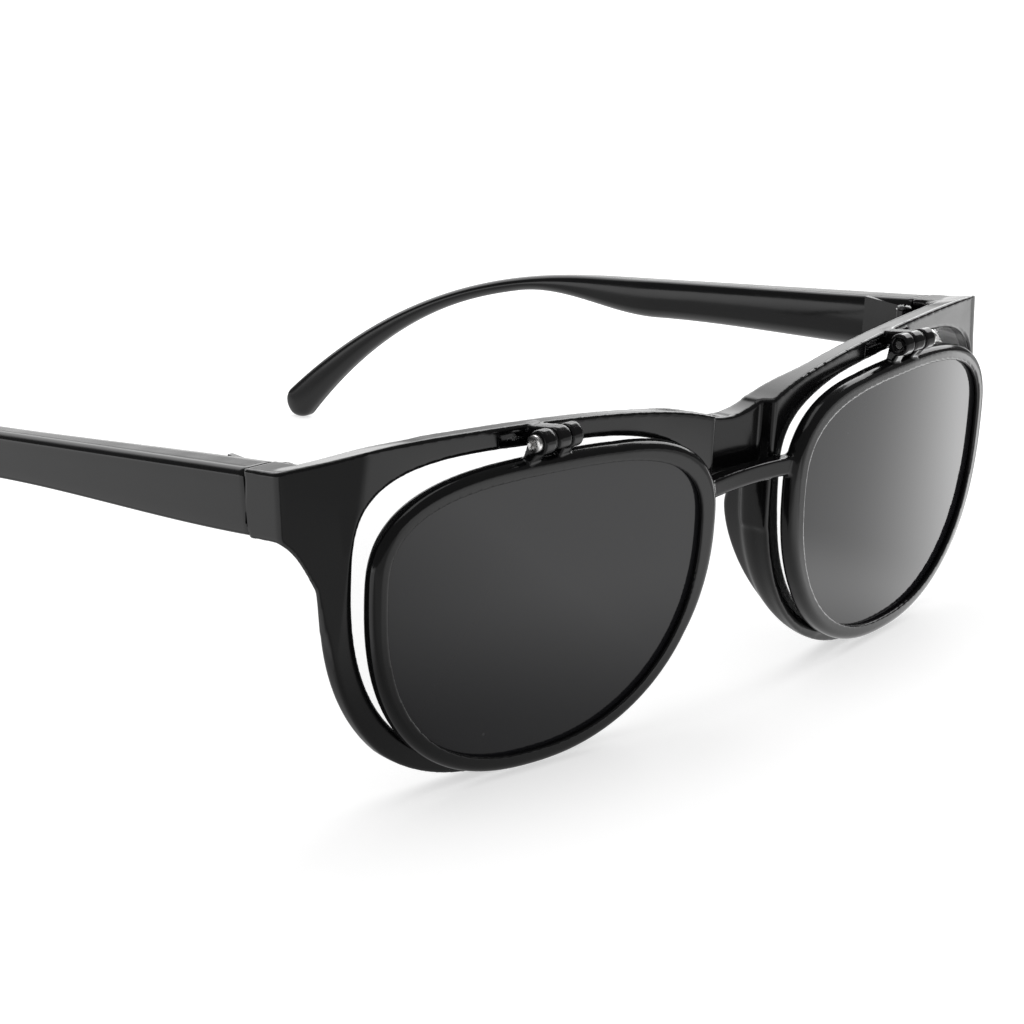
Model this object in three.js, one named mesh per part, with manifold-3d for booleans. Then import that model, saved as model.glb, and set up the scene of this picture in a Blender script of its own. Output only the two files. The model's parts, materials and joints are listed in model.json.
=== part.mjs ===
// Flip-up dark glasses: a moulded spectacle front with clear lenses, a flip-up front with dark
// lenses on two screw hinges, and two folding temples on metal hinges.
// Millimetres, +Z up. The front faces -Y and the glasses stand on their rims and temple tips.
// The wearer's left is +X. Pieces are built in the front's own frame: y runs back from the dark
// lenses' plane and z runs up along the front, from the lens centres.
import * as THREE from 'three';
import { mergeVertices } from 'three/addons/utils/BufferGeometryUtils.js';
import Module from 'manifold-3d';

const wasm = await Module();
wasm.setup();

// Driving dimensions: whole front
const frontWidth = 144;
const lensShare = 0.25625;
const rimTurn = THREE.MathUtils.degToRad(8);
const rimSetback = 3.5;
const frontThickness = 3.0;
const topFall = 0.25;
const sweepInset = 0.6;
const cornerInset = 1.5;
const sweepSlope = 1.0;
const sweepLean = 0.1;
const bridgeFace = 1.3;
const bridgeThickness = 3.6;
const bridgeHalf = 4.8;
const bridgeReach = 7.2;
const bridgeTop = 18.4;
const bridgeHeight = 10.0;
const bridgeRise = 1.0;
const bridgeArch = 0.9;
const bridgeRamp = 1.0;
const browTop = 23.8;
const browPeak = 48;
const browNose = 19.95;
const browShoulder = 1.4;
const browHandle = 8;
const browRiseShare = 0.25;
const browCrestShare = 0.58;
const rimMeet = 1;
const rimSunk = 0.4;
const mainRimWidth = 2.0;
const endTop = 21.4;
const endHeight = 8.8;
const endDepth = 6.5;
const endFillet = 5;
const endWidth = 5.5;

// Driving dimensions: lens outlines, from the lens centre
const clearOpening = {
  halfWidth: 28.7, top: 21.4, bottom: -22.0, waist: 7.0, lean: 1.2, tilt: 0.05, upperPower: 3.4,
};
const darkOpening = {
  halfWidth: 25.9, top: 18.1, bottom: -20.8, waist: 5.5, lean: 1.6, tilt: 0, upperPower: 3.0,
};
const lowerPower = 2.27;
const lensSeat = 0.9;
const clearThickness = 1.6;
const clearSetback = 1.0;
const darkThickness = 1.1;
const darkSetback = 0.9;
const lensClearance = 0.15;

// Driving dimensions: flip front
const flipRimWidth = 2.3;
const flipThickness = 2.6;
const flipChamfer = 0.45;
const flipSwell = 0.7;
const swellPlace = THREE.MathUtils.degToRad(150);
const swellSpread = THREE.MathUtils.degToRad(47);
const barHeight = 2.3;
const barArch = 0.6;
const barTop = 11.2;
const barThickness = 1.6;
const barGap = 0.4;

// Driving dimensions: flip hinge, stacked along X from the screw head to the nut
const hingeCentre = 37.8;
const hingeAxisY = -0.5;
const hingeAxisZ = 23.15;
const flipLugRadius = 1.65;
const frameLugRadius = 1.65;
const frameLugDepth = 1.05;
const neckSetback = 1.0;
const flipLugWidth = 2.0;
const frameLugWidth = 2.4;
const washerThickness = 0.25;
const washerRadius = 1.4;
const flipScrewRadius = 0.6;
const flipHeadRadius = 1.1;
const flipHeadHeight = 0.8;
const nutThickness = 1.1;
const nutRadius = 1.1;
const runningClearance = 0.1;
const boreOverrun = 1;
const headCrown = 0.7;
const headEdge = 1 / 3;
const lugFoot = 0.5;
const lugShoulder = 0.4;
const pocketDepth = 1.2;
const pocketToNose = 3.4;
const pocketToTemple = 1.8;
const pocketTop = 23.1;

// Driving dimensions: nose pads
const padTop = 8.5;
const padBottom = -20;
const padCrest = 1.5;
const padBack = 9.2;
const padThickness = 2.4;
const padFlare = 0.2;
const padRoot = 1.4;
const padTaper = 0.7;

// Driving dimensions: temples
const templeSlope = THREE.MathUtils.degToRad(9.4);
const templeReach = 153;
const templeGap = 0.3;
const bendStart = 70;
const tipDrop = 25.3;
const bendPower = 2.35;
const templeMiddleHeight = 6.8;
const templeNeckHeight = 2.4;
const templeTipHeight = 6.4;
const narrowStart = 58;
const neckStart = 93;
const neckEnd = 103;
const templeMiddleThickness = 3.8;
const templeNeckThickness = 2.6;
const templeTipThickness = 3.4;
const tipInward = 6;
const inwardPower = 1.6;
const templeChamfer = 0.5;

// Driving dimensions: temple hinge
const leafThickness = 0.8;
const leafLength = 4.2;
const templeLeafLength = 9;
const knuckleRadius = 1.4;
const knuckleHeight = 1.9;
const knuckleGap = 0.12;
const templeScrewRadius = 0.6;
const templeHeadRadius = 1.2;
const templeHeadHeight = 0.6;
const leafPocket = 0.5;
const leafClearance = 0.15;
const headRoom = 2;

// Facets of round shapes
const outlineSteps = 64;
const roundSteps = 16;
const curveSteps = 10;
const templeSteps = 26;
const tipSteps = 8;

// Derived places
const halfWidth = frontWidth / 2;
const lensSpread = frontWidth * lensShare;
const sweepStart = lensSpread + clearOpening.halfWidth - sweepInset;
const cornerX = sweepStart + cornerInset;
const rimY = (x) => rimSetback / Math.cos(rimTurn) + (x - lensSpread) * Math.tan(rimTurn);
const endFace = rimY(sweepStart) + (halfWidth - sweepStart) * sweepSlope;
const jointY = endFace + endDepth;
const jointTop = endTop - Math.tan(templeSlope) * endDepth;
const jointMiddle = jointTop - endHeight / 2;
const innerX = halfWidth - endWidth;
const pinX = innerX - leafThickness + leafPocket - knuckleRadius + runningClearance;
const deep = 80;
const sides = { right: -1, left: 1 };

// Solids

function solid(geometry) {
  const bare = geometry.index ? geometry.toNonIndexed() : geometry.clone();
  bare.deleteAttribute('normal');
  bare.deleteAttribute('uv');
  const merged = mergeVertices(bare, 1e-4);
  const vertProperties = new Float32Array(merged.attributes.position.array);
  const triVerts = new Uint32Array(merged.index.array);
  return new wasm.Manifold(new wasm.Mesh({ numProp: 3, vertProperties, triVerts }));
}

function geometryOf(manifold) {
  const mesh = manifold.getMesh();
  const geometry = new THREE.BufferGeometry();
  geometry.setAttribute('position', new THREE.BufferAttribute(new Float32Array(mesh.vertProperties), 3));
  geometry.setIndex(new THREE.BufferAttribute(new Uint32Array(mesh.triVerts), 1));
  geometry.computeVertexNormals();
  return geometry;
}

const joined = (parts) => parts.reduce((whole, part) => whole.add(part));
const without = (whole, cuts) => cuts.reduce((rest, cut) => rest.subtract(cut), whole);

// A front view outline (x, z), given depth along y.
function plate(points, front, back, chamfer = 0) {
  const geometry = new THREE.ExtrudeGeometry(new THREE.Shape(points), {
    depth: back - front - 2 * chamfer,
    steps: 1,
    bevelEnabled: chamfer > 0,
    bevelThickness: chamfer,
    bevelSize: chamfer,
    bevelOffset: -chamfer,
    bevelSegments: 1,
  });
  return geometry.rotateX(Math.PI / 2).translate(0, back - chamfer, 0);
}

// A side view outline (y, z), given width along x.
function slab(points, x0, x1) {
  const low = Math.min(x0, x1);
  const geometry = new THREE.ExtrudeGeometry(new THREE.Shape(points), {
    depth: Math.abs(x1 - x0),
    bevelEnabled: false,
  });
  const turn = new THREE.Matrix4().makeBasis(
    new THREE.Vector3(0, 1, 0), new THREE.Vector3(0, 0, 1), new THREE.Vector3(1, 0, 0));
  return geometry.applyMatrix4(turn).translate(low, 0, 0);
}

// A rod along x, through the flip hinge's axis.
function hingeRod(radius, x0, x1, sections = roundSteps) {
  return new THREE.CylinderGeometry(radius, radius, Math.abs(x1 - x0), sections)
    .rotateZ(Math.PI / 2)
    .translate((x0 + x1) / 2, hingeAxisY, hingeAxisZ);
}

// A rod along z, through a temple hinge's pin.
function pinRod(radius, z0, z1, side) {
  return new THREE.CylinderGeometry(radius, radius, z1 - z0, roundSteps)
    .rotateX(Math.PI / 2)
    .translate(side * pinX, jointY, (z0 + z1) / 2);
}

const box = (x0, x1, y0, y1, z0, z1) => new THREE.BoxGeometry(Math.abs(x1 - x0), y1 - y0, z1 - z0)
  .translate((x0 + x1) / 2, (y0 + y1) / 2, (z0 + z1) / 2);

// Lens outlines

const bent = (value, power) => Math.sign(value) * Math.abs(value) ** (2 / power);

// Two half superellipses that meet at the waist, tilted above it and leaning outwards below it.
// The outline can be grown, and swell further where the flip bar joins the rim.
function lensOutline(lens, side, grow = 0, swell = 0) {
  const points = [];
  const angleAt = (i) => (2 * Math.PI * i) / outlineSteps;
  for (let i = 0; i < outlineSteps; i += 1) {
    const angle = angleAt(i);
    const up = Math.sin(angle) >= 0;
    const power = up ? lens.upperPower : lowerPower;
    const rise = bent(Math.sin(angle), power);
    const height = up ? lens.top - lens.waist : lens.waist - lens.bottom;
    const shift = up ? 0 : lens.lean * rise * rise;
    const u = lens.halfWidth * bent(Math.cos(angle), power) + shift;
    const lift = up ? lens.tilt * rise * u : 0;
    points.push(new THREE.Vector2(side * u, lens.waist + height * rise + lift));
  }
  return points.map((point, i) => {
    const before = points[(i + outlineSteps - 1) % outlineSteps];
    const after = points[(i + 1) % outlineSteps];
    const along = after.clone().sub(before).normalize().multiplyScalar(side);
    const off = Math.min(1, Math.abs(angleAt(i) - swellPlace) / swellSpread);
    const out = grow + swell * Math.cos((off * Math.PI) / 2);
    return new THREE.Vector2(point.x + along.y * out, point.y - along.x * out);
  });
}

const shifted = (points, dx) => points.map((point) => new THREE.Vector2(point.x + dx, point.y));

// Main front

// All that lies behind a sheet set back from the rims' flat faces.
function behindFace(depth) {
  const reach = frontWidth;
  const outline = [
    new THREE.Vector2(-reach, deep),
    new THREE.Vector2(-reach, rimY(reach) + depth),
    new THREE.Vector2(0, rimY(0) + depth),
    new THREE.Vector2(reach, rimY(reach) + depth),
    new THREE.Vector2(reach, deep),
  ];
  const geometry = new THREE.ExtrudeGeometry(new THREE.Shape(outline), {
    depth: 2 * deep,
    bevelEnabled: false,
  });
  return solid(geometry.translate(0, 0, -deep));
}

// All that lies in front of the faces that sweep the end pieces back, further out lower down.
function beforeSweep(side) {
  const reach = frontWidth;
  const outline = [
    new THREE.Vector2(side * (sweepStart - reach), rimY(sweepStart) - reach * sweepSlope),
    new THREE.Vector2(side * (sweepStart + reach), rimY(sweepStart) - reach * sweepSlope),
    new THREE.Vector2(side * (sweepStart + reach), rimY(sweepStart) + reach * sweepSlope),
  ];
  const lean = new THREE.Matrix4().set(
    1, 0, -side * sweepLean, side * sweepLean * endTop,
    0, 1, 0, 0,
    0, 0, 1, 0,
    0, 0, 0, 1);
  const geometry = new THREE.ExtrudeGeometry(new THREE.Shape(outline), {
    depth: 2 * deep,
    bevelEnabled: false,
  });
  return solid(geometry.translate(0, 0, -deep).applyMatrix4(lean));
}

const throughFront = (points) => solid(plate(points, -deep, deep));
const lensOpening = (side, grow) => shifted(lensOutline(clearOpening, side, grow), side * lensSpread);
const lensSlice = (side, grow, from, to) => throughFront(lensOpening(side, grow))
  .intersect(behindFace(from))
  .subtract(behindFace(to));

// Half of the brow in the front view, with its end piece, cut open later for the lens.
function browOutline(side) {
  const outline = new THREE.Path();
  const rimReach = lensSpread + clearOpening.halfWidth + mainRimWidth;
  const noseReach = lensSpread - clearOpening.halfWidth - mainRimWidth;
  const fallen = topFall * (endFace - rimY(halfWidth));
  const endHigh = endTop + fallen;
  const endLow = endHigh - endHeight;
  outline.moveTo(bridgeHalf, browNose);
  outline.bezierCurveTo(
    browPeak * browRiseShare, browTop - browShoulder,
    browPeak * browCrestShare, browTop, browPeak, browTop);
  outline.bezierCurveTo(
    browPeak + browHandle, browTop, halfWidth - browHandle, endHigh, halfWidth, endHigh);
  outline.lineTo(halfWidth, endLow);
  outline.bezierCurveTo(
    halfWidth - rimSunk, endLow, rimReach + rimSunk, endLow / 2, rimReach - rimSunk, rimMeet);
  outline.lineTo(noseReach + rimSunk, rimMeet);
  outline.bezierCurveTo(noseReach, bridgeTop / 3, bridgeHalf, bridgeTop / 2, bridgeHalf, browNose);
  return outline.getPoints(curveSteps).slice(0, -1).map((p) => new THREE.Vector2(side * p.x, p.y));
}

// Lets the brow's top fall towards the back from the rims' faces.
function brow(side) {
  const fall = new THREE.Matrix4().set(
    1, 0, 0, 0,
    0, 1, 0, 0,
    side * topFall * Math.tan(rimTurn), -topFall, 1, topFall * rimY(0),
    0, 0, 0, 1);
  return solid(plate(browOutline(side), -deep, deep).applyMatrix4(fall));
}

// The bridge lies further back than the rims it joins, arched over the nose, its top falling back.
function bridge() {
  const outline = new THREE.Shape();
  const low = bridgeTop - bridgeHeight;
  const high = bridgeTop + bridgeRise;
  outline.moveTo(-bridgeReach, low);
  outline.quadraticCurveTo(0, low + 2 * bridgeArch, bridgeReach, low);
  outline.lineTo(bridgeReach, high);
  outline.lineTo(bridgeHalf, high);
  outline.quadraticCurveTo(0, bridgeTop - bridgeRise, -bridgeHalf, high);
  outline.lineTo(-bridgeReach, high);
  const fall = new THREE.Matrix4().set(
    1, 0, 0, 0,
    0, 1, 0, 0,
    0, -topFall, 1, topFall * bridgeFace,
    0, 0, 0, 1);
  const beam = plate(outline.getPoints(8), bridgeFace, bridgeFace + bridgeThickness);
  return solid(beam.applyMatrix4(fall));
}

// All that lies in front of the ramp which leads back from a rim's face to the bridge.
function beforeRamp(side) {
  const reach = frontWidth;
  const outline = [
    new THREE.Vector2(side * (bridgeHalf + reach), bridgeFace - reach * bridgeRamp),
    new THREE.Vector2(side * (bridgeHalf - reach), bridgeFace - reach * bridgeRamp),
    new THREE.Vector2(side * (bridgeHalf - reach), bridgeFace + reach * bridgeRamp),
  ];
  const geometry = new THREE.ExtrudeGeometry(new THREE.Shape(outline), {
    depth: 2 * deep,
    bevelEnabled: false,
  });
  return solid(geometry.translate(0, 0, -deep));
}

// The end piece: a swept corner behind the brow, then a block square to the temple at its joint.
function endPiece(side) {
  const lean = endHeight * Math.tan(templeSlope);
  const low = endTop - endHeight;
  const overlap = 1;
  const corner = [
    new THREE.Vector2(rimY(cornerX), browTop),
    new THREE.Vector2(rimY(cornerX), low - endFillet),
    new THREE.Vector2(rimY(cornerX) + frontThickness, low - endFillet),
    new THREE.Vector2(endFace + overlap, low),
    new THREE.Vector2(endFace + overlap, browTop),
  ];
  const block = [
    new THREE.Vector2(endFace, endTop),
    new THREE.Vector2(endFace, low),
    new THREE.Vector2(jointY - lean, jointTop - endHeight),
    new THREE.Vector2(jointY, jointTop),
  ];
  const across = (outline, x) => solid(slab(outline, side * x, side * halfWidth));
  return across(corner, cornerX).intersect(brow(side)).add(across(block, innerX));
}

// A fin that stands back from the rim beside the nose and follows the rim down.
function nosePad(side) {
  const root = bridgeFace + bridgeThickness / 2 - padRoot;
  const height = padBack - root;
  const outline = new THREE.Shape();
  outline.moveTo(root, padTop);
  outline.bezierCurveTo(
    root + height / 2, padTop, padBack, (padTop + padCrest) / 2, padBack, padCrest);
  outline.bezierCurveTo(
    padBack, padCrest - padTop / 2, root + height * padTaper, padBottom / 2, root, padBottom);
  const lean = new THREE.Matrix4().set(
    1, side * padFlare, 0, -side * padFlare * root,
    0, 1, 0, 0,
    0, 0, 1, 0,
    0, 0, 0, 1);
  const wall = (grow) => solid(plate(lensOpening(side, grow), root, 2 * padBack).applyMatrix4(lean));
  const profile = solid(slab(outline.getPoints(8), 0, side * lensSpread));
  return wall(mainRimWidth).subtract(wall(mainRimWidth - padThickness)).intersect(profile);
}

// Along the flip hinge: where each piece of the stack starts and ends, outwards from the nose.
const stackWidth = 2 * flipLugWidth + frameLugWidth + washerThickness + 3 * runningClearance;
const innerLug = [hingeCentre - stackWidth / 2, hingeCentre - stackWidth / 2 + flipLugWidth];
const frameLug = [innerLug[1] + runningClearance, innerLug[1] + runningClearance + frameLugWidth];
const washer = [frameLug[1] + runningClearance, frameLug[1] + runningClearance + washerThickness];
const outerLug = [washer[1] + runningClearance, washer[1] + runningClearance + flipLugWidth];
const screwHead = [outerLug[1] + runningClearance, outerLug[1] + runningClearance + flipHeadHeight];
const nut = [innerLug[0] + runningClearance, innerLug[0] + runningClearance + nutThickness];

const screwBore = (side, span) => solid(hingeRod(
  flipScrewRadius + runningClearance,
  side * (span[0] - boreOverrun), side * (span[1] + boreOverrun)));

// The lug that reaches forward from the brow to the flip screw, flat underneath.
function frameHingeLug(side) {
  const root = rimY(frameLug[0]) + frontThickness / 2;
  const outline = new THREE.Shape();
  outline.moveTo(root, clearOpening.top + lugFoot);
  outline.lineTo(root, browTop - lugShoulder);
  outline.lineTo(hingeAxisY, hingeAxisZ + frameLugRadius);
  const under = Math.PI + Math.asin(frameLugDepth / frameLugRadius);
  outline.absarc(hingeAxisY, hingeAxisZ, frameLugRadius, Math.PI / 2, under, false);
  const points = outline.getPoints(roundSteps / 2);
  return solid(slab(points, side * frameLug[0], side * frameLug[1]));
}

// The shallow pocket in the brow behind each flip hinge.
function hingePocket(side) {
  const x0 = innerLug[0] - pocketToNose;
  const x1 = outerLug[1] + pocketToTemple;
  const floor = rimY(hingeCentre) + pocketDepth;
  return solid(box(side * x0, side * x1, floor - deep, floor, 0, pocketTop));
}

// Where the temple hinge's leaves lie, against the inner faces of end piece and temple.
const leafX = innerX - leafThickness + leafPocket;
const stackHeight = 3 * knuckleHeight + 2 * knuckleGap;
const knuckleLow = jointMiddle - stackHeight / 2;

const leafSeat = (side, y0, y1, grow) => box(
  side * (leafX - grow), side * (leafX + leafThickness + grow), y0 - grow, y1 + grow,
  knuckleLow - grow, knuckleLow + stackHeight + grow);

const hingeRoom = (side) => solid(pinRod(
  knuckleRadius + leafClearance,
  knuckleLow - templeHeadHeight, knuckleLow + stackHeight + headRoom, side));

function frontFrame() {
  const both = Object.values(sides);
  const rims = both.map((side) => throughFront(lensOpening(side, mainRimWidth)));
  const openings = both.map((side) => throughFront(lensOpening(side, 0)));
  const halves = both.map((side, i) => rims[i].add(brow(side)).subtract(beforeRamp(side)));
  let body = joined(halves).intersect(behindFace(0)).subtract(behindFace(frontThickness));
  body = joined([body, bridge(), ...both.map((side) => endPiece(side))]);
  body = without(body, [...openings, ...both.map((side) => beforeSweep(side))]);
  for (const side of both) {
    body = body.subtract(hingePocket(side));
    body = joined([body, nosePad(side), frameHingeLug(side)]);
    const groove = lensSlice(side, lensSeat + lensClearance,
      clearSetback - lensClearance, clearSetback + clearThickness + lensClearance);
    const pocket = solid(leafSeat(side, jointY - leafLength, jointY + boreOverrun, leafClearance));
    body = without(body, [groove, pocket, hingeRoom(side), screwBore(side, frameLug)]);
  }
  return body;
}

const clearLens = (side) => lensSlice(side, lensSeat, clearSetback, clearSetback + clearThickness);

// Flip front

// Places a piece made flat, in a dark lens's own plane, on its side of the flip front.
const inFlipPlane = (geometry, side) => geometry
  .rotateZ(side * rimTurn)
  .translate(side * lensSpread, 0, 0);

function flipRim(side) {
  const ring = solid(inFlipPlane(
    plate(lensOutline(darkOpening, side, flipRimWidth, flipSwell), 0, flipThickness, flipChamfer), side));
  const hole = solid(inFlipPlane(plate(lensOutline(darkOpening, side), -deep, deep), side));
  const groove = solid(inFlipPlane(plate(
    lensOutline(darkOpening, side, lensSeat + lensClearance),
    darkSetback - lensClearance, darkSetback + darkThickness + lensClearance), side));
  return { ring, cuts: [hole, groove] };
}

function darkLens(side) {
  const outline = lensOutline(darkOpening, side, lensSeat);
  return solid(inFlipPlane(plate(outline, darkSetback, darkSetback + darkThickness), side));
}

// A lug that stands up from the flip rim: a barrel about the screw on a neck set back from the face.
function flipHingeLug(side, span) {
  const rimFace = (span[0] - lensSpread) * Math.tan(rimTurn);
  const foot = darkOpening.top + flipRimWidth / 2;
  const outline = new THREE.Shape();
  outline.moveTo(rimFace + neckSetback, foot);
  outline.lineTo(rimFace + flipThickness - flipChamfer, foot);
  outline.lineTo(hingeAxisY + flipLugRadius, hingeAxisZ);
  outline.absarc(hingeAxisY, hingeAxisZ, flipLugRadius, 0, 1.5 * Math.PI, false);
  return solid(slab(outline.getPoints(roundSteps / 2), side * span[0], side * span[1]));
}

// The thin bar over the nose, arched in the middle, set back from the rims' faces.
function flipBar() {
  const rimEdge = lensSpread - (darkOpening.halfWidth + flipRimWidth) * Math.cos(rimTurn);
  const reach = rimEdge + flipRimWidth / 2;
  const outline = new THREE.Shape();
  const low = barTop - barHeight;
  outline.moveTo(-reach, low);
  outline.quadraticCurveTo(0, low + 2 * barArch, reach, low);
  outline.lineTo(reach, barTop);
  outline.quadraticCurveTo(0, barTop + 2 * barArch, -reach, barTop);
  const back = rimY(bridgeHalf) - barGap;
  return solid(plate(outline.getPoints(6), back - barThickness, back));
}

function flipFrame() {
  const rims = Object.values(sides).map((side) => flipRim(side));
  let body = joined([...rims.map((rim) => rim.ring), flipBar()]);
  for (const side of Object.values(sides)) {
    for (const span of [innerLug, outerLug]) {
      body = body.add(flipHingeLug(side, span)).subtract(screwBore(side, span));
    }
    const nutPocket = hingeRod(nutRadius + runningClearance, side * (innerLug[0] - boreOverrun),
      side * (nut[1] + runningClearance), 6);
    body = body.subtract(solid(nutPocket));
  }
  return without(body, rims.flatMap((rim) => rim.cuts));
}

// Flip hinge hardware

// A pan head screw, turned about x, its head towards the temple.
function flipScrew(side) {
  const reach = screwHead[1] - nut[0];
  const profile = [
    new THREE.Vector2(0, 0),
    new THREE.Vector2(flipScrewRadius, 0),
    new THREE.Vector2(flipScrewRadius, reach - flipHeadHeight),
    new THREE.Vector2(flipHeadRadius, reach - flipHeadHeight),
    new THREE.Vector2(flipHeadRadius, reach - flipHeadHeight * headEdge),
    new THREE.Vector2(flipHeadRadius * headCrown, reach),
    new THREE.Vector2(0, reach),
  ];
  return solid(new THREE.LatheGeometry(profile, roundSteps)
    .rotateZ((-side * Math.PI) / 2)
    .translate(side * nut[0], hingeAxisY, hingeAxisZ));
}

const flipNut = (side) => solid(hingeRod(nutRadius, side * nut[0], side * nut[1], 6))
  .subtract(screwBore(side, nut));

const flipWasher = (side) => solid(hingeRod(washerRadius, side * washer[0], side * washer[1]))
  .subtract(screwBore(side, washer));

// Temples

const smooth = (from, to, at) => THREE.MathUtils.smoothstep(at, from, to);
const along = (from, to, share) => from + (to - from) * share;
const bendShare = (s) => Math.max(0, (s - bendStart) / (templeReach - bendStart));

// A measure of the temple at a distance s behind its joint: at the joint, middle, neck and tip.
function templeMeasure(s, joint, middle, neck, tip) {
  const ahead = along(joint, middle, smooth(0, narrowStart, s));
  const slim = along(ahead, neck, smooth(narrowStart, neckStart, s));
  const widen = Math.max(0, s - neckEnd) / (templeReach - neckEnd);
  return along(slim, tip, widen * widen);
}

const templeHeight = (s) => templeMeasure(
  s, endHeight, templeMiddleHeight, templeNeckHeight, templeTipHeight);
const templeThickness = (s) => templeMeasure(
  s, endWidth, templeMiddleThickness, templeNeckThickness, templeTipThickness);

// The side view of a temple, top edge first, with a round tip.
function templeOutline() {
  const top = [];
  const bottom = [];
  const topAt = (s) => new THREE.Vector2(s, -tipDrop * bendShare(s) ** bendPower);
  for (let i = 0; i <= templeSteps; i += 1) {
    const s = templeGap + (templeReach - templeGap) * (i / templeSteps);
    const here = topAt(s);
    const ahead = topAt(s + 0.01).sub(here).normalize();
    const down = new THREE.Vector2(ahead.y, -ahead.x).multiplyScalar(templeHeight(s));
    top.push(here);
    bottom.unshift(here.clone().add(down));
  }
  const tip = [];
  const last = top[top.length - 1];
  const centre = last.clone().add(bottom[0]).multiplyScalar(0.5);
  const arm = last.clone().sub(centre);
  for (let i = 1; i < tipSteps; i += 1) {
    tip.push(arm.clone().rotateAround(new THREE.Vector2(), (-Math.PI * i) / tipSteps).add(centre));
  }
  return [...top, ...tip, ...bottom];
}

// The temple lies along +y behind its joint, its outer face flat as far as the bend.
function temple(side) {
  const geometry = new THREE.ExtrudeGeometry(new THREE.Shape(templeOutline()), {
    depth: endWidth - 2 * templeChamfer,
    bevelThickness: templeChamfer,
    bevelSize: templeChamfer,
    bevelOffset: -templeChamfer,
    bevelSegments: 1,
  });
  const position = geometry.attributes.position;
  for (let i = 0; i < position.count; i += 1) {
    const s = position.getX(i);
    const share = (position.getZ(i) + templeChamfer) / endWidth;
    const fromOuter = side > 0 ? 1 - share : share;
    const outward = halfWidth - tipInward * bendShare(s) ** inwardPower - fromOuter * templeThickness(s);
    position.setXYZ(i, side * outward, s, position.getY(i));
  }
  const turned = geometry.rotateX(-templeSlope).translate(0, jointY, jointTop);
  const pocket = solid(leafSeat(side, jointY - boreOverrun, jointY + templeLeafLength, leafClearance));
  return without(solid(turned), [pocket, hingeRoom(side)]);
}

// Temple hinges

const knuckle = (side, level) => {
  const low = knuckleLow + level * (knuckleHeight + knuckleGap);
  return solid(pinRod(knuckleRadius, low, low + knuckleHeight, side));
};

const pinBore = (side) => solid(pinRod(
  templeScrewRadius + runningClearance,
  knuckleLow - boreOverrun, knuckleLow + stackHeight + boreOverrun, side));

// A leaf is a plate with one or two knuckles, cleared where the other leaf's knuckles turn.
function hingeLeaf(side, y0, y1, levels, otherLevels) {
  const leaf = solid(leafSeat(side, y0, y1, 0));
  const room = otherLevels.map((level) => {
    const low = knuckleLow + level * (knuckleHeight + knuckleGap);
    return solid(pinRod(
      knuckleRadius + leafClearance, low - knuckleGap, low + knuckleHeight + knuckleGap, side));
  });
  const knuckles = levels.map((level) => knuckle(side, level));
  return without(joined([without(leaf, room), ...knuckles]), [pinBore(side)]);
}

const frontLeaf = (side) => hingeLeaf(side, jointY - leafLength, jointY, [0, 2], [1]);
const templeLeaf = (side) => hingeLeaf(
  side, jointY + templeGap, jointY + templeLeafLength, [1], [0, 2]);

// The hinge screw, head on top, its lower end level with the lowest knuckle.
function templeScrew(side) {
  const reach = stackHeight + runningClearance + templeHeadHeight;
  const profile = [
    new THREE.Vector2(0, 0),
    new THREE.Vector2(templeScrewRadius, 0),
    new THREE.Vector2(templeScrewRadius, reach - templeHeadHeight),
    new THREE.Vector2(templeHeadRadius, reach - templeHeadHeight),
    new THREE.Vector2(templeHeadRadius, reach - templeHeadHeight * headEdge),
    new THREE.Vector2(templeHeadRadius * headCrown, reach),
    new THREE.Vector2(0, reach),
  ];
  return solid(new THREE.LatheGeometry(profile, roundSteps)
    .rotateX(Math.PI / 2)
    .translate(side * pinX, jointY, knuckleLow));
}

// Materials

const glossBlack = { color: 0x0b0b0c, roughness: 0.16, metalness: 0 };
const darkGlass = { color: 0x1c1d20, roughness: 0.08, metalness: 0 };
const clearGlass = { color: 0xf2f5f5, roughness: 0.05, metalness: 0, transparent: true, opacity: 0.2 };
const steel = { color: 0xb9bbbd, roughness: 0.3, metalness: 1 };
const nylon = { color: 0x161617, roughness: 0.6, metalness: 0 };

function piece(name, manifold, finish) {
  const mesh = new THREE.Mesh(geometryOf(manifold), new THREE.MeshStandardMaterial(finish));
  mesh.name = name;
  return mesh;
}

// Assembly

const front = new THREE.Group();
const temples = new THREE.Group();
front.add(piece('front_frame', frontFrame(), glossBlack));
front.add(piece('flip_frame', flipFrame(), glossBlack));
for (const [name, side] of Object.entries(sides)) {
  front.add(piece(`clear_lens_${name}`, clearLens(side), clearGlass));
  front.add(piece(`dark_lens_${name}`, darkLens(side), darkGlass));
  front.add(piece(`flip_screw_${name}`, flipScrew(side), steel));
  front.add(piece(`flip_nut_${name}`, flipNut(side), steel));
  front.add(piece(`flip_washer_${name}`, flipWasher(side), nylon));
  front.add(piece(`front_leaf_${name}`, frontLeaf(side), steel));
  front.add(piece(`temple_screw_${name}`, templeScrew(side), steel));
  temples.add(piece(`temple_leaf_${name}`, templeLeaf(side), steel));
  temples.add(piece(`temple_${name}`, temple(side), glossBlack));
}

// Standing on a table: the pitch at which the rims and the temple tips are equally low.
function lowest(group, pitch) {
  let low = Infinity;
  group.traverse((object) => {
    if (!object.isMesh) return;
    const position = object.geometry.attributes.position;
    for (let i = 0; i < position.count; i += 1) {
      low = Math.min(low, position.getY(i) * Math.sin(pitch) + position.getZ(i) * Math.cos(pitch));
    }
  });
  return low;
}

function restPitch() {
  let less = 0;
  let more = Math.PI / 8;
  for (let i = 0; i < 40; i += 1) {
    const middle = (less + more) / 2;
    if (lowest(temples, middle) < lowest(front, middle)) less = middle;
    else more = middle;
  }
  return (less + more) / 2;
}

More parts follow.
